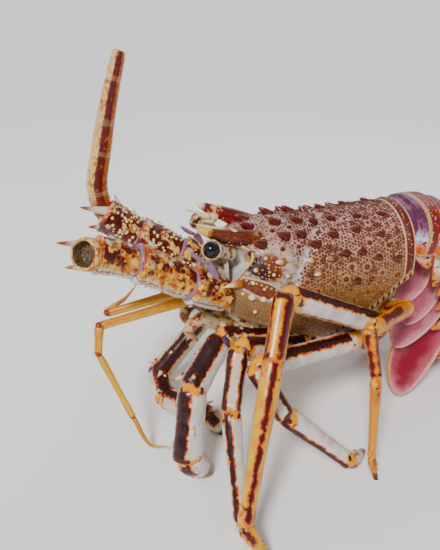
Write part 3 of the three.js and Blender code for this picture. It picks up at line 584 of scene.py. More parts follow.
# The shell's back and flanks: rings from the front edge to the rear one, each running from one
# lower margin over the back to the other.
def shellGrid(rings=200, corners=241):
    u = np.linspace(0, 1, rings)
    u = 0.5 * u + 0.5 * ramp(u, 0, 1)  # closer rings at both ends
    s = np.linspace(-1, 1, corners)
    nominal = np.abs(s) * shell["margin"]
    front = -shell["length"] + orbitNotch(nominal)
    x = front[None, :] * (1 - u[:, None])
    whole = marginAngle(x)
    angle = np.abs(s) * whole
    edge = x - front  # distance behind the front edge
    margin = (1 - np.abs(s)) * whole  # degrees above the lower margin
    orbit = hump(nominal, 50, 26)
    lip = 1.1 * hump(edge, 1.2, 1.4) * (0.3 + 0.7 * orbit) - 0.8 * hump(edge, 4.6, 2.0) * orbit
    lip = lip + 0.9 * hump(margin, 1.5, 2.0)
    return x, angle, edge, margin, nominal, barrelPoint(x, angle, np.sign(s), lip)


marginRoll = [(0.9, -0.9), (2.2, -0.8), (3.0, 0.6), (3.4, 3.0)]  # mm inwards and up
rearRoll = [(0.5, 0.0), (1.8, -0.6), (3.5, -2.5)]  # mm inwards, x
bowlShares = (0.8, 0.62, 0.45, 0.3, 0.16, 0.06)  # how near each ring lies to the middle
bowlMiddle = vec(-133, 0, 118)
rearMiddle = vec(-3, 0, 125)


# The shell as one closed surface. Beyond each margin it turns in under the edge and then across
# to the middle, its front closes over a bowl for each eye, and its rear edge turns in.
def addShell(skin):
    x, angle, edge, margin, nominal, grid = shellGrid()
    rolled = [grid[:, [-1]] + vec(0, -inwards, up) for inwards, up in marginRoll]
    centre = grid[:, [-1]] * (1, 0, 1) + vec(0, 0, 6)
    left = [ring * (1, -1, 1) for ring in reversed(rolled)]
    grid = np.concatenate([grid, *rolled, centre, *left], 1)
    extra = grid.shape[1] - x.shape[1]
    nominal = np.concatenate([nominal, np.full(extra, 125)])
    front = []
    for share in bowlShares:
        ring = grid[0] + (bowlMiddle - grid[0]) * share
        ring[:, 0] += 5.5 * hump(nominal, 52, 24) * np.sin(np.pi * min(share / 0.62, 1))
        front.append(ring)
    rear = []
    for inwards, back in rearRoll:
        towards = (rearMiddle - grid[-1]) * (0, 1, 1)
        ring = grid[-1] + unit(towards) * inwards
        ring[:, 0] = back
        rear.append(ring)
    front, rear = np.stack(front), np.stack(rear)
    parts = {  # on the front's bowl, on the shell, and under its margin
        "x": (front[..., 0], x, 0),
        "turn": (nominal, angle, 125),
        "edge": (0, edge, 30),
        "margin": (30, margin, 0),
        "orbit": (1, 0 * x, 0),
    }
    fields = {}
    for name, (bowl, values, under) in parts.items():
        bowl = np.broadcast_to(bowl, front.shape[:2])
        values = np.concatenate([values, np.full((len(x), extra), under)], 1)
        fields[name] = np.concatenate([bowl, values, np.repeat(values[-1:], len(rear), 0)])
    skin.add(np.concatenate([front, grid, rear]), fields, root=bowlMiddle, tip=rearMiddle)


def addShellDomes(skin, x, angle, side, size, height, corners, fields):
    points, normals = barrelPoint(x, angle, side), barrelNormal(x, angle, side)
    addGranules(skin, points, normals, size, height, corners, fields)


# Granules on a jittered lattice of even spacing along and round the shell. One in eight is larger.
def addShellGranules(skin):
    rng = np.random.default_rng(5)
    step = shell["granuleSpacing"]
    places = []
    for k, x in enumerate(np.arange(-129, -7, step * 0.87)):
        angles = np.linspace(0, 124, 400)
        arc = marksAlong(barrelPoint(x, angles))
        spots = np.arange(step * (0.25 + 0.5 * (k % 2)), arc[-1], step)
        places.append(np.stack([np.full(len(spots), x), np.interp(spots, arc, angles)], -1))
    places = np.concatenate(places * 2)
    side = np.repeat([-1.0, 1.0], len(places) // 2)
    places = places + rng.uniform(-1, 1, places.shape) * (0.38, 0.55)
    x, angle = places.T
    angle = np.maximum(angle, 0.5)
    points = barrelPoint(x, angle, side)
    big = np.concatenate([np.array(mainSpines)[:, :2], tubercles[:, :2]])
    big = np.abs(barrelPoint(*big.T))
    away = np.linalg.norm(np.abs(points)[:, None] - big, axis=-1).min(1)
    edge = x - (-shell["length"] + orbitNotch(angle * 122 / 118))
    groove = np.abs(x - grooveLine(angle)) + 20 * (angle > 88)
    low = ramp(angle, 62, 108)
    front = ramp(-x, 84, 96)
    size = (1.02 - 0.42 * low) * (1 - 0.3 * front) * rng.uniform(0.72, 1.12, len(x))
    size = size * np.where(rng.uniform(0, 1, len(x)) < 0.13 * (1 - low), 1.55, 1.0)
    keep = (away > 3.0) & (edge > 4) & (groove > 2.6) & (aboveMargin(points) > 3) & (x < -8.8)
    keep &= rng.uniform(0, 1, len(x)) > 0.35 * front
    keep &= (lensShape(x, angle) < -0.12) | (rng.uniform(0, 1, len(x)) < 0.06)
    cream = front * ramp(angle, 30, 55) + 0.55 * (rng.uniform(0, 1, len(x)) < 0.015)
    fields = {"red": 1 - ramp(angle, 25, 80), "cream": cream, "low": low}
    fields = {name: value[keep] for name, value in fields.items()}
    addShellDomes(skin, x[keep], angle[keep], side[keep], size[keep], size[keep] * 0.7, 7, fields)
    # a row of pale beads on the dark band of the rear edge
    angle = np.concatenate([np.arange(2, 100, 2.3)] * 2)
    side = np.repeat([-1.0, 1.0], len(angle) // 2)
    x = rng.uniform(-5.6, -3.2, len(angle))
    size = rng.uniform(0.45, 0.85, len(angle))
    fields = {"red": 1.0, "cream": rng.uniform(0.1, 0.62, len(angle))}
    addShellDomes(skin, x, angle, side, size, size * 0.8, 7, fields)
    # and a row of domes along the top of the lens
    x = np.concatenate([np.linspace(-127, -104, 8)] * 2)
    angle = 78.5 + 0.3 * (x + 124)
    side = np.repeat([-1.0, 1.0], 8)
    addShellDomes(skin, x, angle, side, 1.0, 0.8, 9, {"red": 0.0, "cream": 0.8})
    return int(keep.sum())


def lensShape(x, angle):  # above 0 inside the brown lens behind the front edge
    middle = 83 + 0.24 * (x + 123)
    return 1 - np.hypot((x + 115.5) / 16, (angle - middle) / 7)


def patchShape(x, angle):  # below 1 inside the dark patch behind the orbit
    return np.hypot((x + 111) / 13, (angle - 63.5) / 16)


def addShellThorns(skin, x, angle, side, lean, lengths, radii, **settings):
    out = barrelNormal(x, angle, side) * 0.75 + vec(-lean, 0, 0.1)
    addThorns(skin, barrelPoint(x, angle, side), out, lengths, radii, **settings)


def addShellSpines(skin):
    for side in (-1.0, 1.0):
        x, angle, length, radius = np.array(mainSpines, float).T
        pale = ramp(angle, 50, 62) * ramp(-x, 56, 66)  # those behind the eye are shorter and pale
        length, radius = length * (0.78 - 0.2 * pale), radius * (1 - 0.25 * pale)
        addShellThorns(
            skin, x, angle, side, shell["spineLean"], length, radius, bend=unit(vec(-1, 0, -0.15)) * 1.6,
            rings=11, corners=16, sink=1.4, fields={"red": 1 - 0.6 * pale, "cream": pale}, taper=0.46,
        )
        x, angle, height = tubercles.T
        front = ramp(-x, 88, 100) * ramp(angle, 45, 60)
        addShellThorns(
            skin, x, angle, side, shell["spineLean"] / 2, height, height * 0.85, corners=12, sink=0.7,
            fields={"red": 1 - ramp(angle, 40, 90), "cream": front}, taper=0.45,
        )
        root = barrelPoint(edgeSpine["x"], edgeSpine["angle"], side)
        addThorns(
            skin, root, vec(-1, side * edgeSpine["spread"], 0), edgeSpine["length"], edgeSpine["radius"],
            rings=10, corners=14, sink=2, fields={"red": 0.2, "cream": 0.7},
        )
        x, angle, size = np.array(whiteKnobs).T
        addShellDomes(skin, x, angle, side, size, size * 0.8, 14, {"red": 0.0, "cream": 1.6})


# Horns over the eyes

hornPaths = {
    -1: [(-106, -14, 147), (-122, -16, 150.5), (-138, -16.5, 154), (-156, -16.5, 160.5)],
    1: [(-106, 14, 147), (-122, 16, 153.5), (-136, 17, 159.5), (-150, 17.5, 166)],
}
hornRows = [
    [0, 6, 7],
    [0.333, 5.5, 6.4],
    [0.533, 4.6, 5.4],
    [0.733, 3.4, 4.2],
    [0.9, 2, 2.6],
    [1, 0.4, 0.5],
]
hornSpikes = [  # root, tip, radius
    [(-137, 12.5, 156), (-159, 13, 164), 2.38],
    [(-143, 11, 157.5), (-152.5, 9, 161), 1.7],
    [(-140, 9.5, 154), (-150, 6.5, 157), 1.615],
    [(-128, 17, 156), (-134, 18, 161.5), 1.53],
]


def addHorns(skin):
    for _, side in sides:
        tube = Tube(hornPaths[side], hornRows)
        addTube(
            skin, tube, 60, 28,
            fields=lambda t, turn: {"rise": t, "top": np.cos(turn), "far": side > 0},
            relief=lambda t, turn: 0.25 * np.sin(9 * turn) * ramp(t, 0.2, 0.5) * (1 - t),
        )
        for root, tip, radius in hornSpikes:
            root, tip = mirror(root, side), mirror(tip, side)
            addThorns(
                skin, root, tip - root, np.linalg.norm(tip - root), radius, rings=9, corners=12, sink=1.5,
                fields={"spike": 1.0},
            )
        rng = np.random.default_rng(31)
        t, turn = rng.uniform(0.05, 0.55, 50), rng.uniform(-1.3, 1.3, 50)
        size = rng.uniform(0.35, 0.65, 50)
        addGranules(skin, tube.at(t, turn), tube.out(t, turn), size, size * 0.8, 7, {"spike": 0.7})


# Materials of the shell

shellColors = {
    "back": "#c29a8f",
    "backDark": "#8f6257",
    "middle": "#b38c72",
    "flank": "#a67c52",
    "flankDark": "#7c5634",
    "pale": "#c9b0a4",
    "chalk": "#c0b4ae",
    "olive": "#6f5c3a",
    "cheek": "#8f7a62",
    "darkPatch": "#2c0d05",
    "rust": "#7b3a14",
    "bank": "#d0c8c8",
    "grooveDark": "#4a3b2c",
    "curl": "#ecd8c8",
    "rimMaroon": "#5a1a12",
    "rimPale": "#d9ac8e",
    "fringe": "#b3916c",
    "fringeSpot": "#3d1a0c",
    "lens": "#7c4736",
    "lensDark": "#653223",
    "bowl": "#c3a672",
    "bowlWhite": "#dcd8dc",
    "bowlDark": "#3c1408",
    "lip": "#dfcaa4",
    "lipLine": "#8a5a24",
}


def shellMaterial():
    m = Shader("shell")
    c = shellColors
    x, turn, edge, margin, groove = m.fields("x", "turn", "edge", "margin", "groove")
    wander = m.noise(7, 3) - 0.5
    fine = m.noise(2.4, 3, 0.6)
    low = (turn + wander * 26).step(58, 98)
    half = (turn + wander * 26).step(28, 62)
    net = m.cells(2.2).step(0.25, 0.6)
    back = m.mix(net * 0.45, c["back"], c["backDark"])
    middle = m.mix(net * 0.45, c["middle"], c["backDark"])
    flank = m.mix(net * 0.75, c["flank"], c["flankDark"])
    color = m.mix(low, m.mix(half, back, middle), flank)
    color = m.mix(m.noise(16, 3, 0.6).step(0.5, 0.66) * 0.35 * (1 - low), color, c["pale"])
    # the front third is chalky and olive in small blotches
    front = (x * -1 + wander * 10).step(74, 90) * (1 - low)
    color = m.mix(front * fine.step(0.46, 0.6) * 0.5, color, c["chalk"])
    color = m.mix(front * m.noise(3.4, 3, 0.6).step(0.5, 0.62) * 0.8, color, c["olive"])
    color = m.mix((x * -1 + wander * 8).step(82, 98) * turn.step(84, 92) * 0.6, color, c["cheek"])
    # a dark patch behind the orbit, with a chalky net round it
    inside = m.field("patch") + wander * 0.55 + (fine - 0.5) * 0.35
    net = 1 - inside.step(1.35, 1.9)
    color = m.mix(net * m.noise(2.2, 2).step(0.42, 0.56) * 0.9, color, c["chalk"])
    rust = m.mix((x * 0.06 + turn * -0.03 + 8.9 + wander * 2).step(0.0, 0.9), c["darkPatch"], c["rust"])
    color = m.mix(1 - inside.step(0.75, 1.05), color, rust)
    # the lens and its white outline
    lens = m.field("lens") + wander * 0.1
    color = m.mix((lens + 0.3).step(-0.03, 0.1), color, c["chalk"])
    color = m.mix(lens.step(-0.02, 0.07), color, m.mix(fine.step(0.4, 0.62), c["lens"], c["lensDark"]))
    # the neck groove is dark at its bottom and chalky in patches on its banks
    bank = groove.step(0.05, 0.25) * (m.noise(6, 3, 0.6) + 0.02).step(0.45, 0.56)
    color = m.mix(bank * 0.65, color, c["bank"])
    patches = m.noise(8, 3, 0.6).step(0.46, 0.6)
    color = m.mix((groove + wander * 0.9).step(0.6, 0.95) * 0.75 * patches, color, c["olive"])
    color = m.mix((groove + wander * 0.9).step(0.84, 1.0) * 0.8 * patches, color, c["grooveDark"])
    color = m.mix(m.field("curl").step(0.45, 0.8) * 0.8, color, c["curl"])
    # bands along the rear edge: pale rim, dark band, pale outer edge
    rear = x + (fine - 0.5) * 0.8
    color = m.mix(rear.step(-8.2, -7.6), color, c["rimPale"])
    color = m.mix(rear.step(-7.3, -6.7), color, c["rimMaroon"])
    color = m.mix(rear.step(-1.8, -1.1), color, c["rimPale"])
    # dark spots on the pale lower edge, towards the rear
    fringe = (1 - margin.step(5.6, 7.0)) * turn.step(60, 90) * x.step(-66, -56)
    spots = ((x * 1.6).sine() + (fine - 0.5) * 1.4).step(-0.1, 0.3)
    spots = spots * margin.step(0.4, 1.4) * (1 - margin.step(3.8, 5.2))
    color = m.mix(fringe, color, m.mix(spots, c["fringe"], c["fringeSpot"]))
    # the front edge is pale, and the bowl behind it golden and white with dark blots
    color = m.mix(1 - edge.step(1.6, 2.6), color, c["lip"])
    color = m.mix(edge.step(0.9, 1.5) * (1 - edge.step(1.7, 2.4)), color, c["lipLine"])
    white = (m.noise(8, 2) + m.field("deep") * 0.25).step(0.5, 0.62)
    bowl = m.mix(white, c["bowl"], c["bowlWhite"])
    bowl = m.mix((m.field("blot") + wander * 0.5).step(0.5, 0.7), bowl, c["bowlDark"])
    color = m.mix(m.field("orbit"), color, bowl)
    grain = m.cells(0.9).step(0.0, 0.7) * 0.5 + m.noise(0.5, 2) * 0.5
    return m.finish(color, 0.36 + 0.2 * fine, m.bump(grain, 0.35, 0.2), coat=0.4)


def granuleMaterial():
    m = Shader("granules")
    rise, red, cream, low = m.fields("rise", "red", "cream", "low")
    spread = m.noise(1.4, 1)
    dome = m.mix(red, "#54301d", "#4c1a15")
    dome = m.mix(low, dome, "#5d3b1e")
    dome = m.mix(spread.step(0.4, 0.65) * 0.4, dome, "#6a2c1c")
    dome = m.mix(rise.step(0.75, 1.0) * 0.15, dome, "#a0694a")
    gold = m.mix(rise.step(0.3, 0.9), "#9a6430", "#cfae80")
    dome = m.mix((cream + (spread - 0.5) * 0.3).step(0.3, 0.6), dome, gold)
    skirt = m.mix(red, m.mix(low, "#b28b6c", "#b18850"), "#b78e83")
    color = m.mix((rise + (spread - 0.5) * 0.08).step(0.04, 0.18), skirt, dome)
    return m.finish(color, 0.3 + 0.1 * spread, coat=0.5)


def spineMaterial():
    m = Shader("spines")
    rise, red, cream = m.fields("rise", "red", "cream")
    wander = (m.noise(2.2, 2) - 0.5) * 0.35
    root = m.mix(red, "#7a4428", "#6a2c1c")
    body = m.mix(red, "#66331d", "#521a12")
    color = m.mix((rise + wander).step(-0.1, 0.12), root, body)
    color = m.mix((rise + wander).step(0.5, 0.95) * 0.5, color, "#8f4428")
    pale = m.mix((rise + wander).step(0.1, 0.5), "#a8672c", "#e9cf9e")
    pale = m.mix((rise + wander * 0.6).step(0.5, 0.8), pale, "#f4ead8")
    color = m.mix((cream + wander).step(0.35, 0.7), color, pale)
    streak = m.noise(0.8, 2, 0.6)
    return m.finish(color, 0.26 + 0.14 * streak, m.bump(streak, 0.15, 0.15), coat=0.6)


def hornMaterial():
    m = Shader("horns")
    rise, top, spike, far = m.fields("rise", "top", "spike", "far")
    wander = (m.noise(4, 2) - 0.5) * 0.3
    speck = m.noise(1.3, 2, 0.6).step(0.5, 0.62)
    near = m.mix((top + wander * 2).step(-0.2, 0.6), m.mix(speck, "#54200e", "#82421a"), "#3a0f0a")
    near = m.mix(m.noise(6, 3, 0.6).step(0.6, 0.68) * 0.6, near, "#a35a1e")
    near = m.mix((rise + wander * 0.5).step(0.76, 0.84), near, "#e3bd78")
    dark = m.mix((top + wander).step(-0.7, 0.5), "#5c1210", "#84282a")
    band = (rise + wander).step(0.62, 0.68) * (1 - (rise + wander).step(0.74, 0.8))
    dark = m.mix(band, dark, "#e0b888")
    dark = m.mix((rise + wander * 0.4).step(0.86, 0.92), dark, "#efe3cf")
    color = m.mix(far, near, dark)
    rear = (1 - (rise + wander).step(0.05, 0.25)) * (1 - spike.step(0.2, 0.4))
    color = m.mix(rear * m.noise(3, 3, 0.6).step(0.45, 0.55), color, "#b98a6c")
    tips = m.mix((rise + wander * 0.5).step(0.72, 0.95), "#eddcb4", "#c25a1e")
    color = m.mix(spike.step(0.4, 0.6), color, tips)
    streak = m.noise(1.2, 3, 0.6)
    return m.finish(color, 0.26 + 0.16 * streak, m.bump(streak, 0.25, 0.2), coat=0.5)


# Fields that the shell's paint reads: lens, patch, groove, blot (a dark blot in the bowl), deep
# (low in the bowl) and curl (a thin pale curve on the flank that bends up at its rear end).
def markShell(points, fields):
    x, turn, onShell = fields["x"], fields["turn"], fields["orbit"] <= 0.5
    fields["lens"] = np.where(onShell, lensShape(x, turn), -1)
    fields["patch"] = np.where(onShell, patchShape(x, turn), 9)
    fields["groove"] = hump(x, grooveLine(turn), 5) * (1 - ramp(turn, 84, 98)) * (fields["orbit"] < 0.5)
    away = np.linalg.norm((np.abs(points) - vec(131, 27, 130)) / vec(6, 5, 3.2), axis=1)
    fields["blot"] = 1 / (1 + away**2)
    fields["deep"] = ramp(132 - points[:, 2], -4, 8)
    line = 35 + 0.02 * (x + 58) - 9.5 * ramp(x, -46, -34)
    fields["curl"] = hump(turn, line, 1.1) * ramp(x, -60, -56) * (1 - ramp(x, -37, -35))


def makeCarapace():
    body, spines, grains, horns = (Skin() for _ in range(4))
    addShell(body)
    markShell(body.points[0], body.fields[0][1])
    body.build("carapaceShell", shellMaterial(), "carapace_shell", "carapace")
    addShellSpines(spines)
    spines.build("carapaceSpines", spineMaterial(), "carapace_shell")
    count = addShellGranules(grains)
    grains.build("carapaceGranules", granuleMaterial(), "carapace_shell")
    addHorns(horns)
    horns.build("horns", hornMaterial(), "carapace_shell")
    print("carapace ready with", count, "granules")


makeCarapace()


# Face and eyes

face = {"power": 0.75, "front": -153.4}
faceRows = [  # x, half width, low, high
    [-153, 11, 103, 122],
    [-148, 18, 101, 131],
    [-140, 23, 99, 139],
    [-134.3, 25, 100, 141],
]
eyes = {
    "root": (-131, 15, 139),
    "end": (-146, 24.5, 148.5),
    "ball": 6.0,
    "ballOffset": (-1.2, 1.6, 0.4),
    "gaze": (-0.2, 0.87, 0.44),  # where the ball looks
    "ringRadius": 6.1,
    "ringThickness": 1.15,
    "stalk": [[0, 5], [0.4, 4.6, 4.8], [0.75, 5.2, 5.4], [1, 5.6, 5.8]],
}


# Rounded sections from the carapace forwards: y = half * cos(a)^power, z likewise with sin(a).
def makeFace():
    m = Shader("face")
    tan = m.mix(m.noise(9, 3).step(0.42, 0.6), "#b9ab9a", "#8b6d50")
    color = m.mix(m.noise(5, 2).step(0.56, 0.64), tan, "#5c2c16")
    paint = m.finish(color, 0.4, m.bump(m.noise(1.5, 3), 0.3, 0.3), coat=0.3)
    first, last = faceRows[-1][0], faceRows[0][0]
    x, a = np.linspace(first, last, 40)[:, None], fullTurn(72)
    half, low, high = (smoothRow(faceRows, x, k) for k in (1, 2, 3))
    y = signedPower(np.cos(a), face["power"]) * half
    z = (low + high) / 2 + signedPower(np.sin(a), face["power"]) * (high - low) / 2
    skin = Skin()
    skin.add(np.stack([x + 0 * a, y, z], -1), root=vec(first, 0, 120), tip=vec(face["front"], 0, 112))
    skin.build("faceFront", paint, "underside_shell", "face")


def eyeAxes(out):  # two directions square to the way the eye looks
    across = unit(np.cross(out, vec(0, 0, 1)))
    return across, np.cross(across, out)


# The ring round the eye ball: a torus whose axis is the way the ball looks.
def addRing(skin, centre, axis, radius, thickness):
    across, over = eyeAxes(axis)
    way, turn = fullTurn(72).T, fullTurn(20)
    reach = radius + thickness * np.cos(turn) + 0.12 * np.sin(5 * way)
    lift = thickness * 1.5 * np.sin(turn)
    grid = spread(centre, (across, np.cos(way) * reach), (over, np.sin(way) * reach), (axis, lift))
    skin.add(np.concatenate([grid, grid[:1]]), {"rim": 1.0}, flip=True)


def makeEyes():
    m = Shader("cornea")
    color = m.mix(m.field("rise").step(-0.2, 0.5), "#3a2a22", "#04060c")
    cornea = m.finish(color, 0.12, coat=0.9)
    m = Shader("eyeStalk")
    color = m.mix(m.noise(4, 2).step(0.52, 0.62), "#cbbcab", "#7a4a2a")
    rimColor = m.mix(m.noise(2, 2).step(0.4, 0.6), "#dccfb8", "#b08a56")
    color = m.mix(m.field("rim").step(0.4, 0.7), color, rimColor)
    stalkPaint = m.finish(color, 0.3, m.bump(m.noise(1, 2), 0.2, 0.15), coat=0.5)
    polar, around = np.linspace(0, np.pi, 34)[1:-1, None], fullTurn(56)
    size = eyes["ball"]
    for sideName, side in sides:
        root = mirror(eyes["root"], side)
        centre = mirror(eyes["end"], side) + mirror(eyes["ballOffset"], side)
        out = unit(mirror(eyes["gaze"], side))
        behind = centre - out * 2.4
        tube = Tube([root, (root + behind) / 2 + vec(0, 0, 0.4), behind], eyes["stalk"], level=(0, 0, 1))
        stalk, ball = Skin(), Skin()
        addTube(stalk, tube, 40, 40, fields=lambda t, turn: {"rim": ramp(t, 0.7, 0.9)})
        addRing(stalk, centre - out * 0.6, out, eyes["ringRadius"], eyes["ringThickness"])
        stalk.build("eyeStalk." + sideName, stalkPaint, "underside_shell")
        # the ball is a sphere whose pole lies the way it looks
        across, over = eyeAxes(out)
        deep, disc = np.cos(polar) * size, np.sin(polar) * size
        wide, high = disc * np.cos(around), disc * np.sin(around)
        grid = spread(centre, (out, deep), (across, wide), (over, high))
        ball.add(grid, {"rise": np.cos(polar)}, root=centre + out * size, tip=centre - out * size)
        ball.build("eyeBall." + sideName, cornea, "cornea", "eye_" + sideName)


makeFace()
makeEyes()
print("face and eyes ready")


# Antennae

antennaPaths = {
    "left": [(-133, -19, 107), (-162, -24, 123), (-198, -30, 147), (-224, -36, 158), (-230, -44, 162.5)],
    "right": [(-133, 19, 108), (-162, 24, 125), (-192, 29, 141), (-216, 31, 158)],
}
antenna = {
    "radius": 12.0,
    "baseSetback": 0.045,  # share of the base that lies inside the carapace
    "longSpineRadius": 3.51,
    "jointSkin": (0.98, 0.27),  # radius and half length, in shares of the radius
    "knobs": {"left": (40, 0.55), "right": (150, 1.0)},  # count on each segment, size
    "seeds": {"left": 7, "right": 8},
}
antennaParts = [  # name, first radius, last radius
    ["base", 1.05, 1.1],
    ["middle", 1.0, 1.06],
    ["outer", 0.95, 1.02],
]
antennaSpines = {  # share of the length, degrees (0 outer, 90 top), length
    "base": [
        [0.72, 70, 7], [0.8, 10, 6], [0.82, 140, 7], [0.8, 200, 5], [0.55, 40, 5], [0.6, -30, 4],
        [0.78, -60, 5],
    ],
    "middle": [
        [0.28, 100, 5], [0.55, 60, 6], [0.82, 110, 8], [0.84, 30, 7], [0.84, 190, 6], [0.5, 160, 5],
        [0.16, -26, 3], [0.26, -22, 3.5], [0.36, -30, 3], [0.46, -25, 3.8], [0.56, -22, 3.5],
        [0.66, -30, 4], [0.76, -26, 3.5], [0.86, -40, 5],
    ],
    "outer": [
        [0.3, 80, 5], [0.62, 110, 5], [0.78, 70, 7], [0.3, -25, 3.5], [0.6, -30, 4], [0.76, 190, 6],
    ],
}
longSpines = {  # root and tip
    "left": [[(-221, -31, 162), (-246, -36, 168)], [(-222, -35, 148.5), (-242.9, -36, 150.8)]],
    "right": [[(-210, 24, 162), (-232, 22, 168)], [(-208, 25, 150), (-228, 21, 153)]],
}
softStrips = [  # points on the left side turned to the right, half width
    [[(-148, 26, 139.5), (-146.5, 27, 132.5), (-143, 27, 122)], 2.6],
    [[(-161, 23, 147), (-155, 24, 141.5), (-148, 25, 137.5)], 1.5],
]


# The turn of a tube's section that lies at so many degrees from the outer side (0) towards the
# top (90).
def limbTurn(tube, t, degrees, side):
    _, _, over = tube.axes(t)
    a = np.radians(degrees)
    return np.arctan2(np.cos(a) * side, np.sin(a) * np.sign(over[..., 2]))


def addLimbSpines(skin, tube, rows, side):
    t, degrees, length = np.array(rows, float).T
    heading, _, _ = tube.axes(t)
    root = tube.at(t, limbTurn(tube, t, degrees, side))
    out = unit(root - tube.centre(t))
    addThorns(
        skin, root - out * 0.4, out + heading * 1.1, length, length * 0.27, rings=9, corners=12,
        bend=heading * 0.6, sink=1.2, fields={"spike": 1.0}, taper=0.8,
    )


# A bar between two joints whose ends reach a little past them. Its rows are [share of the way
# between the joints, half width, half height], and the first and the last lie at its very ends.
def limbTube(a, b, before, after, rows, level):
    length = np.linalg.norm(b - a)
    along = (b - a) / length
    whole = length + before + after
    inner = [[(before + t * length) / whole, *size] for t, *size in rows[1:-1]]
    return Tube([a - along * before, (a + b) / 2, b + along * after], [rows[0], *inner, rows[-1]], level)


# One thick segment: flared behind each joint, with rounded ends that reach into the joints.
def segmentTube(a, b, first, last):
    mean = (first + last) / 2
    rows = [
        [0, 0.5 * first],
        [0, 0.78 * first],
        [0.1, first, 0.94 * first],
        [0.3, mean * 0.97, mean * 0.96],
        [0.55, mean],
        [0.84, 1.07 * last, last],
        [0.95, 1.08 * last, 1.02 * last],
        [1, 0.86 * last, 0.84 * last],
        [1, 0.5 * last],
    ]
    return limbTube(a, b, 0.1 * first, 0.12 * last, rows, (0, 1, 0))


# The soft pink skin that shows between two segments: a short bulging ring
def addJointSkin(skin, point, along, size, width):
    shares = [[0, 0.6], [0.25, 0.93], [0.5, 1.0], [0.75, 0.93], [1, 0.6]]
    reach = unit(along) * size * width
    tube = Tube([point - reach, point, point + reach], [[t, share * size] for t, share in shares])
    addTube(
        skin, tube, 24, 56,
        relief=lambda t, turn: 0.18 * np.sin(turn * 9 + 9 * t) + 0.25 * np.sin(t * 38),
        fields=lambda t, turn: {"fold": np.sin(t * 38)},
    )


# The near antenna is cream below and orange above with dark spots, the far one maroon.
def antennaMaterial(name, near):
    m = Shader(name)
    t, top, rise = m.fields("t", "top", "rise")
    rough = m.noise(2.2, 2) - 0.5
    wander = (m.noise(7, 3, 0.6) - 0.5) * 1.0
    orange = m.mix(m.noise(3, 2).step(0.4, 0.6), "#a04c10", "#d8923e")
    if near:
        above = (top + wander * 1.4).step(-0.5, 0.2)
        cream = m.mix((top + wander).step(-0.5, 0.0), "#dcd4cc", "#e6bf7c")
        color = m.mix(above * m.noise(5, 3, 0.65).step(0.42, 0.56), cream, orange)
        blotch = (m.noise(8, 3, 0.6) + top * 0.1 + (0.5 - t) * 0.08).step(0.55, 0.61)
        color = m.mix(blotch * (top + wander).step(-0.1, 0.3), color, "#4a1208")
        spot = m.cells(7.0, 0.9) + rough * 0.12
        color = m.mix((1 - spot.step(0.27, 0.38)) * above * 0.6, color, "#b14f10")
        color = m.mix((1 - spot.step(0.18, 0.24)) * above, color, "#2e0703")
        # a thin dark line low on the side of the near antenna: a painted shadow under a ridge
        line = abs(top + 0.42 + wander * 0.3)
        color = m.mix((1 - line.step(0.03, 0.07)) * 0.8, color, "#7a3a1c")
    else:
        wide = (m.noise(9, 3, 0.6) + 0.16 * (t * 3.1416).sine()).step(0.5, 0.56)
        color = m.mix(m.noise(4, 3, 0.65).step(0.45, 0.6), "#e2c48e", orange)
        color = m.mix(wide, color, m.mix(m.noise(3, 2).step(0.4, 0.65), "#450e0b", "#68261d"))
    ends = (1 - t.step(0.02, 0.1)).atLeast(t.step(0.88, 0.95))
    color = m.mix(ends * (m.noise(4, 2) + 0.05).step(0.45, 0.6) * top.step(-0.4, 0.2), color, "#b8560f")
    rise = rise + rough * 0.3
    spikes = m.mix(rise.step(0.55, 0.85), "#ddd3c6", "#8a4a20")
    color = m.mix(m.field("spike").step(0.4, 0.6) * rise.step(0.05, 0.25), color, spikes)
    grain = m.noise(1.3, 3, 0.6)
    return m.finish(color, 0.26 + 0.18 * grain, m.bump(grain, 0.3, 0.25), coat=0.5)


def knobMaterial():  # pale knobs, orange round their feet
    m = Shader("knobs")
    rise = m.field("rise") + (m.noise(1.2, 1) - 0.5) * 0.2
    near = m.mix(rise.step(0.3, 0.9), "#5a1608", "#c9782c")
    color = m.mix(m.field("pale"), near, m.mix(rise.step(0.15, 0.6), "#8e3416", "#ecd2a4"))
    return m.finish(color, 0.3, coat=0.5)


def jointMaterial(name, first, second):
    m = Shader(name)
    color = m.mix(m.noise(4, 2).step(0.35, 0.65), first, second)
    color = m.mix(m.field("fold").step(-1, 1) * 0.4, color, first)
    return m.finish(color, 0.38, m.bump(m.noise(1.2, 2), 0.3, 0.2), coat=0.3, soft=0.1)


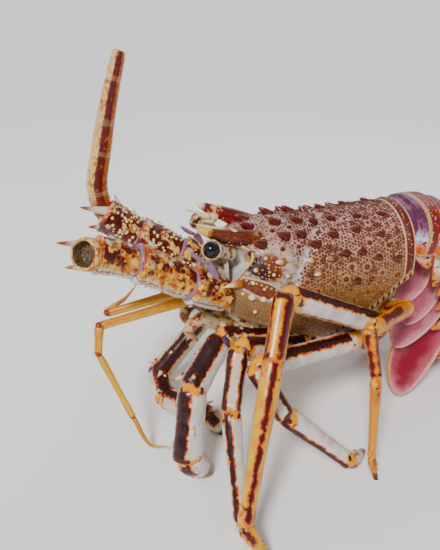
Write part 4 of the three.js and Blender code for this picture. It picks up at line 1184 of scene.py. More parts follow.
def makeAntennae():
    paints = {"left": antennaMaterial("antennaNear", True), "right": antennaMaterial("antennaFar", False)}
    knobs, joints = Skin(), Skin()
    r = antenna["radius"]
    for sideName, side in sides:
        path = np.array(antennaPaths[sideName], float)
        rng = np.random.default_rng(antenna["seeds"][sideName])
        count, knobSize = antenna["knobs"][sideName]
        for index, (part, first, last) in enumerate(antennaParts):
            a, b = path[index : index + 2]
            setback = 0 if index else antenna["baseSetback"]
            tube = segmentTube(a + (b - a) * setback, b, first * r, last * r)

            def relief(t, turn):
                lobes = 0.5 * np.sin(3 * turn + 7.5 * t + index) * np.sin(np.pi * t)
                ridge = 0.3 * hump(t, 0.9, 0.05) - 0.5 * hump(t, 0.97, 0.02)
                return lobes + ridge + 0.35 * lumps(tube.at(t, turn), 9, 20 + index)

            skin = Skin()
            addTube(skin, tube, 90, 96, barFields, relief)
            addLimbSpines(skin, tube, antennaSpines[part], side)
            for root, tip in longSpines[sideName] if part == "outer" else []:
                root, tip = vec(*root), vec(*tip)
                addThorns(
                    skin, root, tip - root, np.linalg.norm(tip - root), antenna["longSpineRadius"],
                    rings=12, corners=14, sink=2, fields={"spike": 1.0}, taper=0.6,
                )
            name = f"antenna{part.capitalize()}.{sideName}"
            skin.build(name, paints[sideName], "antenna_shell", f"antenna_{sideName}_{part}")
            t, turn = rng.uniform(0.1, 0.92, count), rng.uniform(0, 2 * np.pi, count)
            size = rng.uniform(0.6, 1.35, count) * knobSize
            fields = {"pale": side > 0}
            addGranules(knobs, tube.at(t, turn, 0.2), tube.out(t, turn), size, size * 0.8, 8, fields)
            if index:
                width, reach = antenna["jointSkin"]
                addJointSkin(joints, a, b - a, r * width, reach)
        # soft strips between the eye, the face and the antenna's root
        for points, width in softStrips:
            rows = [[0, 0.3, 0.3], [0.25, width, 0.8], [0.75, width, 0.8], [1, 0.3, 0.3]]
            strip = Tube([mirror(q, side) for q in points], rows, level=(1, 0, 0.2))
            addTube(joints, strip, 30, 20, fields=lambda t, turn: {"fold": np.cos(turn * 2)})
    knobs.build("antennaKnobs", knobMaterial(), "antenna_shell")
    joints.build("antennaJointSkin", jointMaterial("antennaJoints", "#84708c", "#ab7f86"), "antenna_shell")


makeAntennae()


# The left whip's broken root, hollow at the end

stumpLength = 10.0  # mm from the joint to the rim in the rows
stumpRows = [  # mm along, half width: outside, then over the rim and down into the hollow
    [0, 9.0], [3.5, 10.4], [7.2, 11.0], [9.2, 10.6], [10.0, 9.9],
    [10.3, 9.2], [10.1, 8.5], [8.5, 7.7], [6, 6.9], [4.2, 5.6], [3.9, 3.0],
]


# The rows turned about the line between the joints, with five shallow lobes in the section
def makeStump():
    m = Shader("stump")
    inside = m.field("inside")
    cream = m.mix(m.noise(3, 2).step(0.4, 0.62), "#dfc08c", "#b5682a")
    color = m.mix((m.field("t") + (m.noise(4, 2) - 0.5) * 0.5).step(0.3, 0.6), "#8e3f2c", cream)
    hollow = m.mix(m.noise(1.6, 3, 0.7).step(0.35, 0.65), "#2a1f1a", "#75604a")
    color = m.mix(inside.step(0.5, 0.7), color, hollow)
    grain = m.noise(1.4, 3, 0.7)
    paint = m.finish(color, 0.35 + 0.2 * inside, m.bump(grain, 0.5, 0.4), coat=0.3)
    a, b = np.array(antennaPaths["left"][3:5], float)
    along, length = unit(b - a), np.linalg.norm(b - a)
    fine = np.linspace(0, len(stumpRows) - 1, 66)[:, None]
    rows = np.column_stack([np.arange(len(stumpRows)), stumpRows])
    reach, size = smoothRow(rows, fine, 1) * length / stumpLength, smoothRow(rows, fine, 2)
    turn = fullTurn(72)
    across = unit(vec(0, 1, 0) - along * dot(vec(0, 1, 0), along))
    over = np.cross(along, across)
    size = size + 0.22 * np.sin(turn * 5 + 1) * ramp(fine, 2, 4)
    parts = ((along, reach), (across, size * np.sin(turn)), (over, size * np.cos(turn) * 0.97))
    grid = spread(a, *parts)
    skin = Skin()
    fields = {"t": reach / length, "inside": ramp(fine, 5.6, 6.6)}
    skin.add(grid, fields, root=a, tip=a + along * reach[-1])
    skin.build("antennaStump", paint, "whip", "antenna_left_stump")


# The right whip

whip = {
    "ringPitch": 1.75,
    "ringDepth": 0.32,
    "stripe": 4.6,  # the turn where the dark stripe lies
    "bands": [(0.2, 0.02), (0.44, 0.02), (0.62, 0.03), (0.86, 0.02)],  # share of the length, width
    "bristles": [3.39, 2.64, 0.2],  # turns of the three rows of bristles
}
whipPath = [
    (-209, 31, 153), (-216, 31.5, 162), (-218.5, 32.5, 180), (-214, 32.5, 201.4), (-205.7, 32.5, 235.8),
    (-195.6, 32, 269.3),
]
whipRows = [[0, 7.6], [0.15, 7.4], [0.5, 6.6], [0.8, 5.3], [0.985, 4.3], [1, 3.6]]


def whipMaterial():
    m = Shader("whip")
    along, away, side, rise = m.fields("along", "face", "side", "rise")
    wander = m.noise(3.2, 3, 0.6) - 0.5
    base = m.mix((side + wander * 1.2).step(-0.4, 0.5), "#e0c08a", "#cf7c1f")
    base = m.mix(m.noise(4, 3, 0.6).step(0.48, 0.6) * 0.8, base, "#9a4a1c")
    bands = m.field("band") + wander * 0.7
    stripe = 1 - (away + wander * 0.5).step(0.34, 0.5)
    breaks = m.noise(6, 3, 0.65).step(0.3, 0.38)
    dark = m.mix(m.noise(2, 2).step(0.4, 0.6), "#480d07", "#6c1c0c")
    color = m.mix(bands.step(0.3, 0.7) * 0.5, base, "#e6cfa0")
    color = m.mix(stripe * breaks * (1 - bands.step(0.5, 0.8) * 0.25), color, dark)
    color = m.mix((1 - along.step(0.8, 2.4)) * (0.5 + wander) * 1.4, color, "#74230e")
    color = m.mix(m.field("ring").step(0.62, 1.0) * 0.6, color, "#6a2a10")
    spikes = m.mix(rise.step(0.5, 0.9), "#f0e6d2", "#d18a45")
    color = m.mix(m.field("spike").step(0.4, 0.6), color, spikes)
    return m.finish(color, 0.32 + 0.1 * m.noise(2, 2), m.bump(m.noise(0.9, 2), 0.2, 0.15), coat=0.4)


def makeWhip():
    tube = Tube(whipPath, whipRows)
    pitch = whip["ringPitch"] / tube.length

    def relief(t, turn):  # rings like a saw: slow rise, quick fall
        return whip["ringDepth"] * ((t / pitch) % 1 - 0.5) * ramp(t, 0.03, 0.08)

    def fields(t, turn):
        return {
            "along": t * 10,
            "face": np.abs(turnFrom(turn, whip["stripe"])),
            "side": -np.cos(turn),
            "band": sum(hump(t, place, width) for place, width in whip["bands"]),
            "ring": (t / pitch) % 1,
        }

    skin = Skin()
    addTube(skin, tube, 560, 48, fields, relief)
    rng = np.random.default_rng(12)
    row = np.arange(0.1, 0.97, pitch)
    t = np.repeat(row, 3)
    turn = np.tile(whip["bristles"], len(row)) + rng.uniform(-0.2, 0.2, len(t))
    out = tube.out(t, turn) + tube.axes(t)[0] * 0.9
    addThorns(
        skin, tube.at(t, turn), out, rng.uniform(0.8, 1.6, len(t)), 0.42, rings=4, corners=6, sink=0.4,
        fields={"spike": 1.0},
    )
    skin.build("antennaWhip", whipMaterial(), "whip", "antenna_right_whip")


makeStump()
makeWhip()
print("antennae ready")


# Antennules and mouthparts

antennules = {
    "left": [(-146, -7, 104), (-227, -14, 91), (-229.5, -22, 73), (-209, -43, 27.5)],
    "right": [(-146, 7, 104), (-221, 10, 86.5), (-214, 20, 87)],
}
antennuleEnds = {
    "left": [(-199, -51, 7), (-188, -54, 6.5)],
    "right": [(-206, 34, 84), (-196, 46, 88)],
}
antennuleKnee = [[0, 1.4], [0.3, 2.9], [0.7, 2.9], [1, 1.4]]
antennuleTip = [[0, 1.8], [0.5, 1.45], [1, 0.4]]
mouthPath = [(-108, 5, 74), (-130, 7.5, 75), (-154, 13, 86), (-162, 11, 76), (-155, 8, 64)]
mouthRows = [[0, 4, 5], [0.3, 5, 6], [0.55, 5, 5.5], [0.65, 4.4], [0.75, 4.2, 4.4], [0.83, 3.6], [1, 1]]
mouthHairs = 260  # on each side


def antennuleMaterial():
    m = Shader("antennules")
    t, top, fine = m.fields("t", "top", "fine")
    wander = m.noise(8, 3, 0.6) - 0.5
    color = m.mix((top + wander * 1.6).step(-0.2, 0.6), "#d8b46c", "#c4841c")
    color = m.mix(m.noise(6, 2, 0.6).step(0.5, 0.64) * 0.7, color, "#dc9c1c")
    ends = (1 - t.step(0.015, 0.05)).atLeast(t.step(0.94, 0.985))
    color = m.mix(ends, color, "#8e3a10")
    color = m.mix(fine * (0.5 + 0.5 * (t * 220).sine()), color, "#a9561a")
    return m.finish(color, 0.3, m.bump(m.noise(1.2, 2), 0.2, 0.15), coat=0.4)


def antennuleRows(i, final):  # share of the length, radius, for the stretch i from the face
    wide, thin = 4.4 - 0.9 * i, 3.1 - 0.4 * i
    end = 1.9 if final else 2.9 - 0.4 * i
    return [
        [0, 2.0],
        [0.03, 3.6 - 0.7 * i],
        [0.15, wide],
        [0.5, (wide + thin) / 2 - 0.2],
        [0.9, thin, thin * 1.04],
        [0.97, end + 0.3],
        [1, end * 0.7],
    ]


def makeAntennules():
    paint = antennuleMaterial()
    for sideName, _ in sides:
        path = np.array(antennules[sideName], float)
        stem, tips = Skin(), Skin()
        for i, (a, b) in enumerate(zip(path, path[1:])):
            final = i == len(path) - 2
            tube = Tube([a, (a + b) / 2, b], antennuleRows(i, final))
            addTube(stem, tube, 70, 24, barFields, lambda t, turn: 0.12 * np.sin(3 * turn + 4 * t))
            if not final:
                knee = Tube([b + vec(2.2, 0, 0.5), b, b + vec(-1.4, 0, -1.2)], antennuleKnee)
                addTube(stem, knee, 16, 20, fields=lambda t, turn: {"t": 1.0, "top": 0.0})
        stem.build("antennule." + sideName, paint, "antennule", f"antennule_{sideName}_stem")
        tube = Tube([path[-1], *antennuleEnds[sideName]], antennuleTip)
        addTube(
            tips, tube, 110, 14,
            fields=lambda t, turn: {"t": 0.1 + 0.8 * t, "top": -np.cos(turn), "fine": 0.8},
            relief=lambda t, turn: 0.08 * np.sin(t * 260),
        )
        tips.build("antennuleTip." + sideName, paint, "antennule", f"antennule_{sideName}_tip")


def makeMouthparts():
    m = Shader("mouthparts")
    color = m.mix(m.noise(6, 3, 0.6).step(0.42, 0.58), "#cdbb9c", "#a0622c")
    color = m.mix((m.noise(9, 2) + 0.02).step(0.58, 0.66), color, "#74341c")
    paint = m.finish(color, 0.35, m.bump(m.noise(1.4, 3), 0.3, 0.25), coat=0.35)
    rng = np.random.default_rng(3)
    for sideName, side in sides:
        tube = Tube([mirror(p, side) for p in mouthPath], mouthRows)
        skin = Skin()
        addTube(
            skin, tube, 90, 36, relief=lambda t, turn: 0.3 * np.sin(2 * turn + 3 * t) * np.sin(np.pi * t)
        )
        # a brush of short stiff hairs along the inner edge
        t = rng.uniform(0.45, 0.97, mouthHairs)
        turn = rng.normal(-side * 1.6, 0.35, mouthHairs)
        out = tube.out(t, turn) + tube.axes(t)[0] * 0.5
        length = rng.uniform(1.5, 3.2, mouthHairs)
        addThorns(skin, tube.at(t, turn), out, length, 0.22, rings=3, corners=5, sink=0.3)
        skin.build("mouthpart." + sideName, paint, "underside_shell", "maxilliped_" + sideName)


makeAntennules()
makeMouthparts()
print("feelers and mouthparts ready")


# The underside of the thorax

sternumRows = [  # x, half width, lowest height
    [-132, 14, 84],
    [-110, 15, 66],
    [-80, 19, 59],
    [-40, 23, 60],
    [-14, 25, 66],
    [-4, 24, 72],
]
sternum = {
    "section": [[0, 0, 0], [1, 0.55, 0], [2, 1.0, 5], [3, 1.02, 20]],  # step, share of the half, height
    "ends": (-131.8, -4.2),
    "seams": (-100, -78, -56, -36, -20),
    "gap": 0.35,  # under the cuts of the carapace
}


# A trough under the cuts of the carapace: each ring runs along the lower side and back under
# the cuts.
def makeSternum():
    m = Shader("sternum")
    color = m.mix(m.noise(9, 3, 0.6).step(0.45, 0.62), "#e3d3b4", "#c79763")
    color = m.mix(m.noise(5, 2).step(0.6, 0.66), color, "#7a3a1c")
    paint = m.finish(color, 0.4, m.bump(m.noise(2, 3), 0.3, 0.4), coat=0.3)
    front, rear = sternum["ends"]
    x, s = np.linspace(front, rear, 120)[:, None], np.linspace(-1, 1, 91)[None, :]
    half, low = smoothRow(sternumRows, x, 1), smoothRow(sternumRows, x, 2)
    share, rise = (smoothRow(sternum["section"], np.abs(s) * 3, k) for k in (1, 2))
    cut = cutPoint[1] - sternum["gap"] + np.maximum(*(slope * (x - cutPoint[0]) for slope in cutSlopes))
    seams = 0.7 * hump(s, 0, 0.05) + 0.6 * sum(hump(x, place, 1.6) for place in sternum["seams"])
    z = low + rise + seams * (np.abs(s) < 0.8)
    y = np.sign(s) * share * half
    lower = np.stack([x + 0 * s, y, np.minimum(z, cut)], -1)
    upper = np.stack([x + 0 * s, y * 0.96, cut + 0 * s], -1)
    skin = Skin()
    grid = np.concatenate([lower, upper[:, ::-1]], 1)
    skin.add(grid, root=vec(front, 0, 90), tip=vec(rear, 0, 90))
    skin.build("sternumPlate", paint, "underside_shell", "sternum")


makeSternum()
print("underside ready")


# Walking legs

legs = {  # hip, root, knee, wrist, hand end, toe: x, y, z, half thickness
    "left_1": [[-84, -12, 67, 7.5], [-95, -24, 67, 8.5], [-146, -46, 88, 10], [-169, -68, 68, 10.5],
               [-176, -84, 22, 11], [-160, -79, -1, 4]],
    "left_2": [[-66, -14, 66, 7], [-76, -33, 66, 7.6], [-137, -65, 93, 8.2], [-147, -87, 60, 7.4],
               [-150, -130, 7, 5], [-144, -142, -1, 2.4]],
    "left_3": [[-45, -16, 66, 7], [-40, -40, 70, 8], [-129, -79, 87, 8], [-111, -90, 54, 7.8],
               [-64, -100, 11, 6], [-44, -82, -1, 2.4]],
    "left_4": [[-28, -18, 69, 7], [-22, -45, 84, 8], [-109, -70, 133, 8], [-122, -94, 102, 7.4],
               [-152, -147, 24, 5.4], [-137, -157, -1, 2.4]],
    "left_5": [[-13, -18, 80, 6], [-4, -44, 96, 6.2], [-50, -76, 103, 5.6], [-49, -92, 76, 4.4],
               [-50, -104, 15, 3.2], [-47, -109, -1, 2.2]],
    "right_1": [[-88, 12, 67, 7.5], [-128, 27, 80, 8.5], [-185, 12, 23, 10.4], [-183, -11, 15, 9.2],
                [-152, -36, 12, 9], [-139, -44, -1, 3.6]],
    "right_2": [[-66, 14, 66, 7], [-76, 34, 66, 7.6], [-130, 70, 94, 8.4], [-142, 98, 66, 8.2],
                [-146, 134, 12, 6], [-139, 144, -1, 2.4]],
    "right_3": [[-45, 16, 66, 7], [-48, 40, 69, 8], [-98, 86, 98, 8], [-108, 114, 67, 7.8],
                [-112, 150, 13, 6], [-104, 160, -1, 2.4]],
    "right_4": [[-28, 18, 69, 7], [-26, 44, 78, 8], [-50, 98, 102, 8.2], [-53, 126, 70, 7.8],
                [-58, 162, 14, 6.2], [-52, 172, -1, 2.4]],
    "right_5": [[-13, 18, 80, 6], [-4, 44, 92, 6.6], [12, 84, 100, 6.6], [20, 102, 72, 5.8],
                [24, 120, 18, 4.2], [27, 128, -1, 2.2]],
}
legSpines = {  # for each stretch: share of the length, degrees (0 outer, 90 top), length
    "plain": {1: [[0.9, 90, 6]]},
    "stout": {
        1: [[0.5, 80, 5], [0.7, 100, 5], [0.9, 75, 8], [0.88, 150, 6]],
        2: [[0.4, 60, 5], [0.82, 20, 9], [0.8, 110, 6]],
        3: [[0.3, 30, 5], [0.55, 10, 5], [0.78, 20, 7], [0.5, 150, 4.5], [0.8, -40, 6]],
    },
}
# The dark stripes of the hip, the merus, the carpus, the hand and the toe: the first stripe's
# turn from the outer ridge and half width in radians, the same of the second, and the first and
# last share of the length. The third leg has the second leg's stripes.
legStripes = {
    1: [
        [0.8, 0.5, 2.6, 0.0, 0.4, 0.9],
        [0.05, 0.62, 2.6, 0.0, 0.14, 0.94],
        [0.25, 0.7, 2.6, 0.0, 0.06, 0.92],
        [0.12, 0.52, 2.6, 0.0, 0.06, 0.94],
        [0.5, 0.45, 2.6, 0.0, 0.05, 0.4],
    ],
    2: [
        [1.0, 0.4, 2.6, 0.0, 0.4, 0.9],
        [0.62, 0.42, 2.6, 0.0, 0.14, 0.92],
        [-0.45, 0.32, 1.15, 0.22, 0.08, 0.92],
        [-0.05, 0.3, 2.6, 0.0, 0.04, 0.94],
        [0.9, 0.3, 2.6, 0.0, 0.05, 0.3],
    ],
    4: [
        [1.0, 0.4, 2.6, 0.0, 0.4, 0.9],
        [0.62, 0.42, 2.6, 0.0, 0.14, 0.92],
        [-0.45, 0.1, 1.15, 0.26, 0.08, 0.92],
        [0.72, 0.16, 2.6, 0.0, 0.04, 0.94],
        [0.9, 0.3, 2.6, 0.0, 0.05, 0.35],
    ],
    5: [
        [1.0, 0.4, 2.6, 0.0, 0.4, 0.9],
        [0.62, 0.5, 2.6, 0.0, 0.3, 0.74],
        [-0.3, 0.3, 1.2, 0.3, 0.1, 0.9],
        [0.7, 0.0, 2.6, 0.0, 0.04, 0.2],
        [0.9, 0.0, 2.6, 0.0, 0.05, 0.2],
    ],
}
legStripes[3] = legStripes[2]
legDetail = {
    "rings": (56, 84, 56, 84, 56),  # of each stretch
    "beads": 30,  # white beads along the outer edge of a stout carpus and hand
    "hairs": {"plain": 90, "stout": 150},  # on each toe
    "kneeSize": {"plain": (0.22, 0.22), "stout": (0.42, 0.22)},  # soft skin, share of the thickness
}


# Legs narrow behind each joint and swell before the next. The toe is a plain taper.
def legTube(a, b, level, toe=False):
    first, last = a[3], b[3]
    middle = (first + last) / 2
    if toe:
        rows = [
            [0, 0.55 * first],
            [0.05, 0.85 * first, 0.88 * first],
            [0.25, 0.88 * first],
            [0.65, 0.6 * first],
            [1, 0.8 * last],
        ]
    else:
        rows = [
            [0, 0.5 * first],
            [0, 0.8 * first, 0.88 * first],
            [0.14, 0.9 * first, first],
            [0.5, 0.86 * middle, middle],
            [0.86, 0.9 * last, 1.06 * last],
            [0.98, 0.84 * last, 0.98 * last],
            [1, 0.45 * last, 0.5 * last],
        ]
    return limbTube(a[:3], b[:3], 0.3 * first, 0 if toe else 0.3 * last, rows, level)


def legMaterial(name, base, shade, halo, dark, stripeWidth=1.0, dashes=0.0):
    m = Shader(name)
    stripe, joint, claw, spike, rise = m.fields("stripe", "joint", "claw", "spike", "rise")
    wander = (m.noise(5, 3, 0.62) - 0.5) * 5.5
    edge = stripe * stripeWidth + wander
    if dashes:
        edge = edge - (m.noise(9, 2, 0.5) - 0.42).step(-0.08, 0.02) * -2.0 * dashes - 1.0 * dashes
    color = m.mix((m.noise(12, 3, 0.6) + stripe * 0.012).step(0.38, 0.62), base, shade)
    warm = (joint + (m.noise(6, 3, 0.6) - 0.5) * 1.4).step(0.42, 0.7)
    color = m.mix(warm, color, m.mix(m.noise(4, 2, 0.6).step(0.4, 0.6), halo, "#eab04a"))
    color = m.mix((edge + 1.3 + (m.noise(2, 2) - 0.5) * 1.6).step(-0.5, 0.7), color, halo)
    color = m.mix((edge + 0.5).step(-0.4, 0.3), color, "#a8430f")
    inner = m.mix(m.noise(2.4, 3, 0.65).step(0.45, 0.7), dark, "#471a16")
    color = m.mix(edge.step(-0.2, 0.25), color, inner)
    # brown blots on the warm ends
    blot = m.noise(7, 2, 0.45).step(0.56, 0.6)
    color = m.mix(blot * (joint + (m.noise(6, 3, 0.6) - 0.5) * 0.6).step(0.3, 0.6), color, "#4a150a")
    color = m.mix(claw.step(0.3, 0.8), color, "#4b1d0d")
    spikes = m.mix(rise.step(0.5, 0.85), "#dccdb2", "#a04a18")
    color = m.mix(spike.step(0.4, 0.6) * rise.step(0.1, 0.3), color, spikes)
    grain = m.noise(1.6, 3, 0.6)
    return m.finish(color, 0.24 + 0.14 * grain, m.bump(grain, 0.25, 0.2), coat=0.5)


def addToeHairs(hairs, tube, rng, count):
    t = rng.uniform(0.05, 0.85, count)
    turn = rng.uniform(0, 2 * np.pi, count)
    root = tube.at(t, turn)
    keep = root[:, 2] > 1.6  # none under the toe
    out = tube.out(t, turn) * 0.5 + tube.axes(t)[0] * 0.8
    out[:, 2] = np.maximum(out[:, 2], -0.5)
    length = rng.uniform(0.9, 1.9, count)
    addThorns(hairs, root[keep], out[keep], length[keep], 0.2, rings=3, corners=5, sink=0.2)


# The five stretches of a leg, each in the skin that skins names for it
def addLeg(skins, side, number, joints, hairs):
    kind = "stout" if number == 1 else "plain"
    reach = joints[4, :3] - joints[1, :3]
    level = vec(-reach[1], reach[0], 0)
    rng = np.random.default_rng(number + (10 if side > 0 else 0))
    for i, skin in enumerate(skins):
        tube = legTube(joints[i], joints[i + 1], level, toe=i == 4)
        centre, width, other, second, start, end = legStripes[number][i]

        def fields(t, turn):
            places = (centre, centre + 3.5, other)
            away, behind, beside = (np.abs(turnFrom(turn, place)) for place in places)
            band = np.maximum(np.maximum(width - away, width * 0.7 - behind), second - beside)
            ends = np.minimum(t - start, end - t) * tube.length
            return {
                "stripe": np.minimum(band * smoothRow(tube.rows, t, 1), ends),
                "joint": np.maximum(1 - ramp(t, 0.0, 0.24), ramp(t, 0.78, 0.96)),
                "claw": ramp(t, 0.5, 0.8) * (i == 4),
            }

        def relief(t, turn):
            ridge = 0.05 * hump(turnFrom(turn, -0.2), 0, 0.35) * tube.rows[3][1]
            hoop = 0.05 * (hump(t, 0.93, 0.02) - hump(t, 0.965, 0.012)) * joints[i + 1][3]
            return (ridge + hoop) * (i < 4) + 0.2 * lumps(tube.at(t, turn), 14, i)

        addTube(skin, tube, legDetail["rings"][i], 52, fields, relief)
        if i in legSpines[kind]:
            addLimbSpines(skin, tube, legSpines[kind][i], side)
        if kind == "stout" and i in (2, 3):
            t = np.linspace(0.08, 0.94, legDetail["beads"])
            turn = -0.35 + rng.uniform(-0.12, 0.12, len(t))
            size = rng.uniform(0.45, 0.85, len(t))
            addGranules(skin, tube.at(t, turn), tube.out(t, turn), size, size, 7, {"spike": 0.7})
        if i == 4:
            addToeHairs(hairs, tube, rng, legDetail["hairs"][kind])


def addKnees(knees, number, joints):  # soft skin at both ends of the hinges of knee and wrist
    for k, share in zip((2, 3), legDetail["kneeSize"]["stout" if number == 1 else "plain"]):
        before, point, after = joints[k - 1 : k + 2, :3]
        size = joints[k, 3]
        hinge = unit(np.cross(point - before, after - point))
        seat = np.stack([point + hinge * size * 0.68, point - hinge * size * 0.68])
        addGranules(knees, seat, np.stack([hinge, -hinge]), size * share, size * 0.25, 18)


def makeLegs():
    paints = {
        "plain": legMaterial("legPlain", "#e6e1de", "#cfc4b8", "#d8951f", "#210a0b"),
        "orange": legMaterial("legOrange", "#deb231", "#cf8c18", "#c47a14", "#4a1006", 1.0, 0.4),
        "thin": legMaterial("legThin", "#d09318", "#b0660a", "#c07810", "#4e1a0a", 0.8),
        "far": legMaterial("legFar", "#d6cdc2", "#bcae98", "#cc8a20", "#240b09"),
    }
    m = Shader("bristles")
    hairPaint = m.finish(m.mix(m.field("rise"), "#8a5a24", "#c99a52"), 0.6)
    hairs, knees = Skin(), Skin()
    for name, joints in legs.items():
        sideName, number = name.split("_")
        side, number, joints = dict(sides)[sideName], int(number), np.array(joints, float)
        stout = number == 1
        nodes = ("upper", "carpus", "hand") if stout else ("upper", "lower")
        skins = [Skin() for _ in nodes]
        order = (0, 0, 1, 2, 2) if stout else (0, 0, 1, 1, 1)  # the node that holds each stretch
        addLeg([skins[k] for k in order], side, number, joints, hairs)
        for node, skin in zip(nodes, skins):
            paint = "thin" if number == 5 else "far" if side > 0 else "plain"
            if name == "left_4" and node == "lower":
                paint = "orange"
            skin.build(f"leg.{name}.{node}", paints[paint], "leg_shell", f"leg_{name}_{node}")
        addKnees(knees, number, joints)
    hairs.build("toeBristles", hairPaint, "leg_shell")
    knees.build("legJointSkin", jointMaterial("legJoints", "#3d2c48", "#6a4a62"), "leg_shell")


makeLegs()
print("legs ready")


# The abdomen

abdomenRows = [  # length, slope in degrees, half width, height of the back over the middle line
    [16, 2, 33, 23.5],
    [27, 28, 34, 27],
    [26, 60, 33, 25],
    [25, 84, 31, 23],
    [24, 94, 29, 21.5],
    [24, 62, 26, 19],
]
abdomen = {
    "root": vec(1.2, 0, 140),
    "drop": 14.0,  # from the middle line to the belly
    "shrink": 0.07,  # of each ring after the first
    "swell": [[-0.25, 0.94], [0.16, 0.94], [0.28, 1.02], [0.9, 1.03], [1.3, 0.96]],
    "gap": 0.15,  # on each side of the plane between two rings
    "sidePower": 0.85,
    "backPower": 0.9,
    "flapReach": 27,
    "beadRows": [(0.68, 0.0), (0.82, 0.035)],  # share of the length, shift round the ring
}


def headingDown(slope):
    return vec(np.cos(np.radians(slope)), 0, -np.sin(np.radians(slope)))


def overOf(heading):
    return vec(-heading[2], 0, heading[0])


abdomenPath = [abdomen["root"]]
for row in abdomenRows:
    abdomenPath.append(abdomenPath[-1] + headingDown(row[1]) * row[0])


def shrinkOf(index):
    return 1 - abdomen["shrink"] * index


# A thin leaf: ring by ring from the root to the tip, each ring an almond whose half width is
# outline(u). cup lifts its edges, bow moves its middle line sideways by bow * sin(pi * u), and
# relief(u, w) raises its faces.
def addBlade(
    skin, root, tip, across, outline, cup=0.0, bow=0.0, thickness=1.3, rings=40, corners=48, relief=None,
    fields=None,
):
    along = tip - root
    side = unit(across - along * dot(across, along) / dot(along, along))
    normal = np.cross(unit(along), side)
    u, turn = np.linspace(0, 1, rings)[:, None], fullTurn(corners)
    w = np.cos(turn) + 0 * u
    half = signedPower(np.sin(turn), 0.6) * thickness / 2 * (1 - 0.45 * w * w)
    lift = cup * w * w + half * np.minimum(1, 0.25 + 9 * (1 - u)) + relief(u, w)
    wide = outline(u) * w + bow * np.sin(np.pi * u)
    grid = spread(root, (along, u), (side, wide), (normal, lift))
    values = {"u": u, "w": w, **(fields or {})}
    skin.add(grid, values, root=grid[0].mean(0), tip=grid[-1].mean(0))


def abdomenMaterial():
    m = Shader("abdomen")
    t, top, belly = m.fields("t", "top", "belly")
    wander = m.noise(6, 3, 0.6) - 0.5
    purple = m.mix(m.noise(7, 3, 0.6).step(0.4, 0.62), "#512640", "#74405c")
    # pale lilac specks over the purple: painted highlights of a wet, glossy shell
    purple = m.mix(m.noise(2.6, 2).step(0.62, 0.7) * 0.5, purple, "#a988a4")
    low = 1 - (top + wander * 0.5).step(0.15, 0.5)
    pale = m.mix(m.noise(3, 2).step(0.56, 0.62), "#d5d6e2", "#5a2a20")
    color = m.mix(low, purple, m.mix((top + wander * 0.4).step(-0.05, 0.12), "#c8701f", pale))
    # along each ring: a hairy groove, a beaded ridge and a bright rear edge
    place = t + wander * 0.03
    groove = place.step(0.44, 0.46) * (1 - place.step(0.58, 0.6))
    color = m.mix(groove, color, m.mix(m.noise(0.9, 2).step(0.4, 0.6), "#a87a58", "#d2ab84"))
    ridge = place.step(0.6, 0.62) * (1 - place.step(0.9, 0.93))
    dots = 1 - m.cells(2.3, 0.6).step(0.22, 0.34)
    color = m.mix(ridge, color, m.mix(dots, "#6f2724", "#d8ae88"))
    color = m.mix(place.step(0.93, 0.95), color, "#9a3a2c")
    color = m.mix((place + wander * 0.04).step(0.965, 0.98), color, "#e0954a")
    flesh = m.mix(m.noise(5, 2).step(0.4, 0.6), "#cf8f7a", "#e3bfa4")
    color = m.mix(belly.step(0.3, 0.7), color, flesh)
    grain = m.noise(1.4, 3, 0.6) * 0.5 + ridge * dots * 1.5
    return m.finish(color, 0.28 + 0.15 * m.noise(3, 2), m.bump(grain, 0.4, 0.35), coat=0.45)


def pleuraMaterial():
    m = Shader("pleura")
    u, w = m.fields("u", "w")
    wander = m.noise(5, 3, 0.6) - 0.5
    color = m.mix((u + wander * 0.6).step(0.3, 0.8), "#e6dac2", "#c8813c")
    color = m.mix(m.noise(3.2, 2).step(0.58, 0.63), color, "#5a2412")
    color = m.mix(abs(w).step(0.72, 0.9), color, "#8a3420")
    return m.finish(color, 0.32, m.bump(m.noise(1.5, 3), 0.3, 0.25), coat=0.4)


def bisector(index):  # the plane between two stretches of the abdomen
    before, after = (headingDown(abdomenRows[k][1]) for k in (index - 1, index))
    return unit(before + after)


# One ring of the abdomen: an arched back over a flat belly, from the plane that it shares with
# the ring before to the one that it shares with the next.
def addAbdomenRing(skin, index):
    length, slope, half, rise = abdomenRows[index]
    following = abdomenRows[min(index + 1, 5)]
    heading = headingDown(slope)
    t, a = np.linspace(0, 1, 96)[:, None], fullTurn(120)
    swell = smoothRow(abdomen["swell"], t, 1)
    rib = 0.4 * hump(t, 0.25, 0.03) - 0.5 * hump(t, 0.94, 0.015)
    width = (half + (following[2] - half) * t) * swell + rib
    back = (rise + (following[3] - rise) * t * 0.5) * swell + rib
    y = signedPower(np.cos(a), abdomen["sidePower"]) * width
    upper = np.maximum(np.sin(a), 0) ** abdomen["backPower"] * back
    ribs = 1 - 0.07 * (1 - np.cos(t * 2 * np.pi)) * (np.abs(np.cos(a)) < 0.9)
    lower = -(np.maximum(-np.sin(a), 0) ** 0.5) * abdomen["drop"] * shrinkOf(index) * ribs
    z = np.where(np.sin(a) > 0, upper, lower)
    offset = np.stack([0 * y, y, 0 * y], -1) + overOf(heading) * z[..., None]
    first = bisector(index) if index else vec(1, 0, 0)
    last = bisector(index + 1) if index < 5 else heading
    near = (abdomen["gap"] - offset @ first) / (heading @ first)
    far = length + (-abdomen["gap"] - offset @ last) / (heading @ last)
    far = np.maximum(far, near + 0.5)
    grid = abdomenPath[index] + offset + heading * (near + (far - near) * t)[..., None]
    fields = {"t": t, "top": np.sin(a), "belly": ramp(-np.sin(a), 0.12, 0.3)}
    skin.add(grid, fields, root=grid[0].mean(0), tip=grid[-1].mean(0))


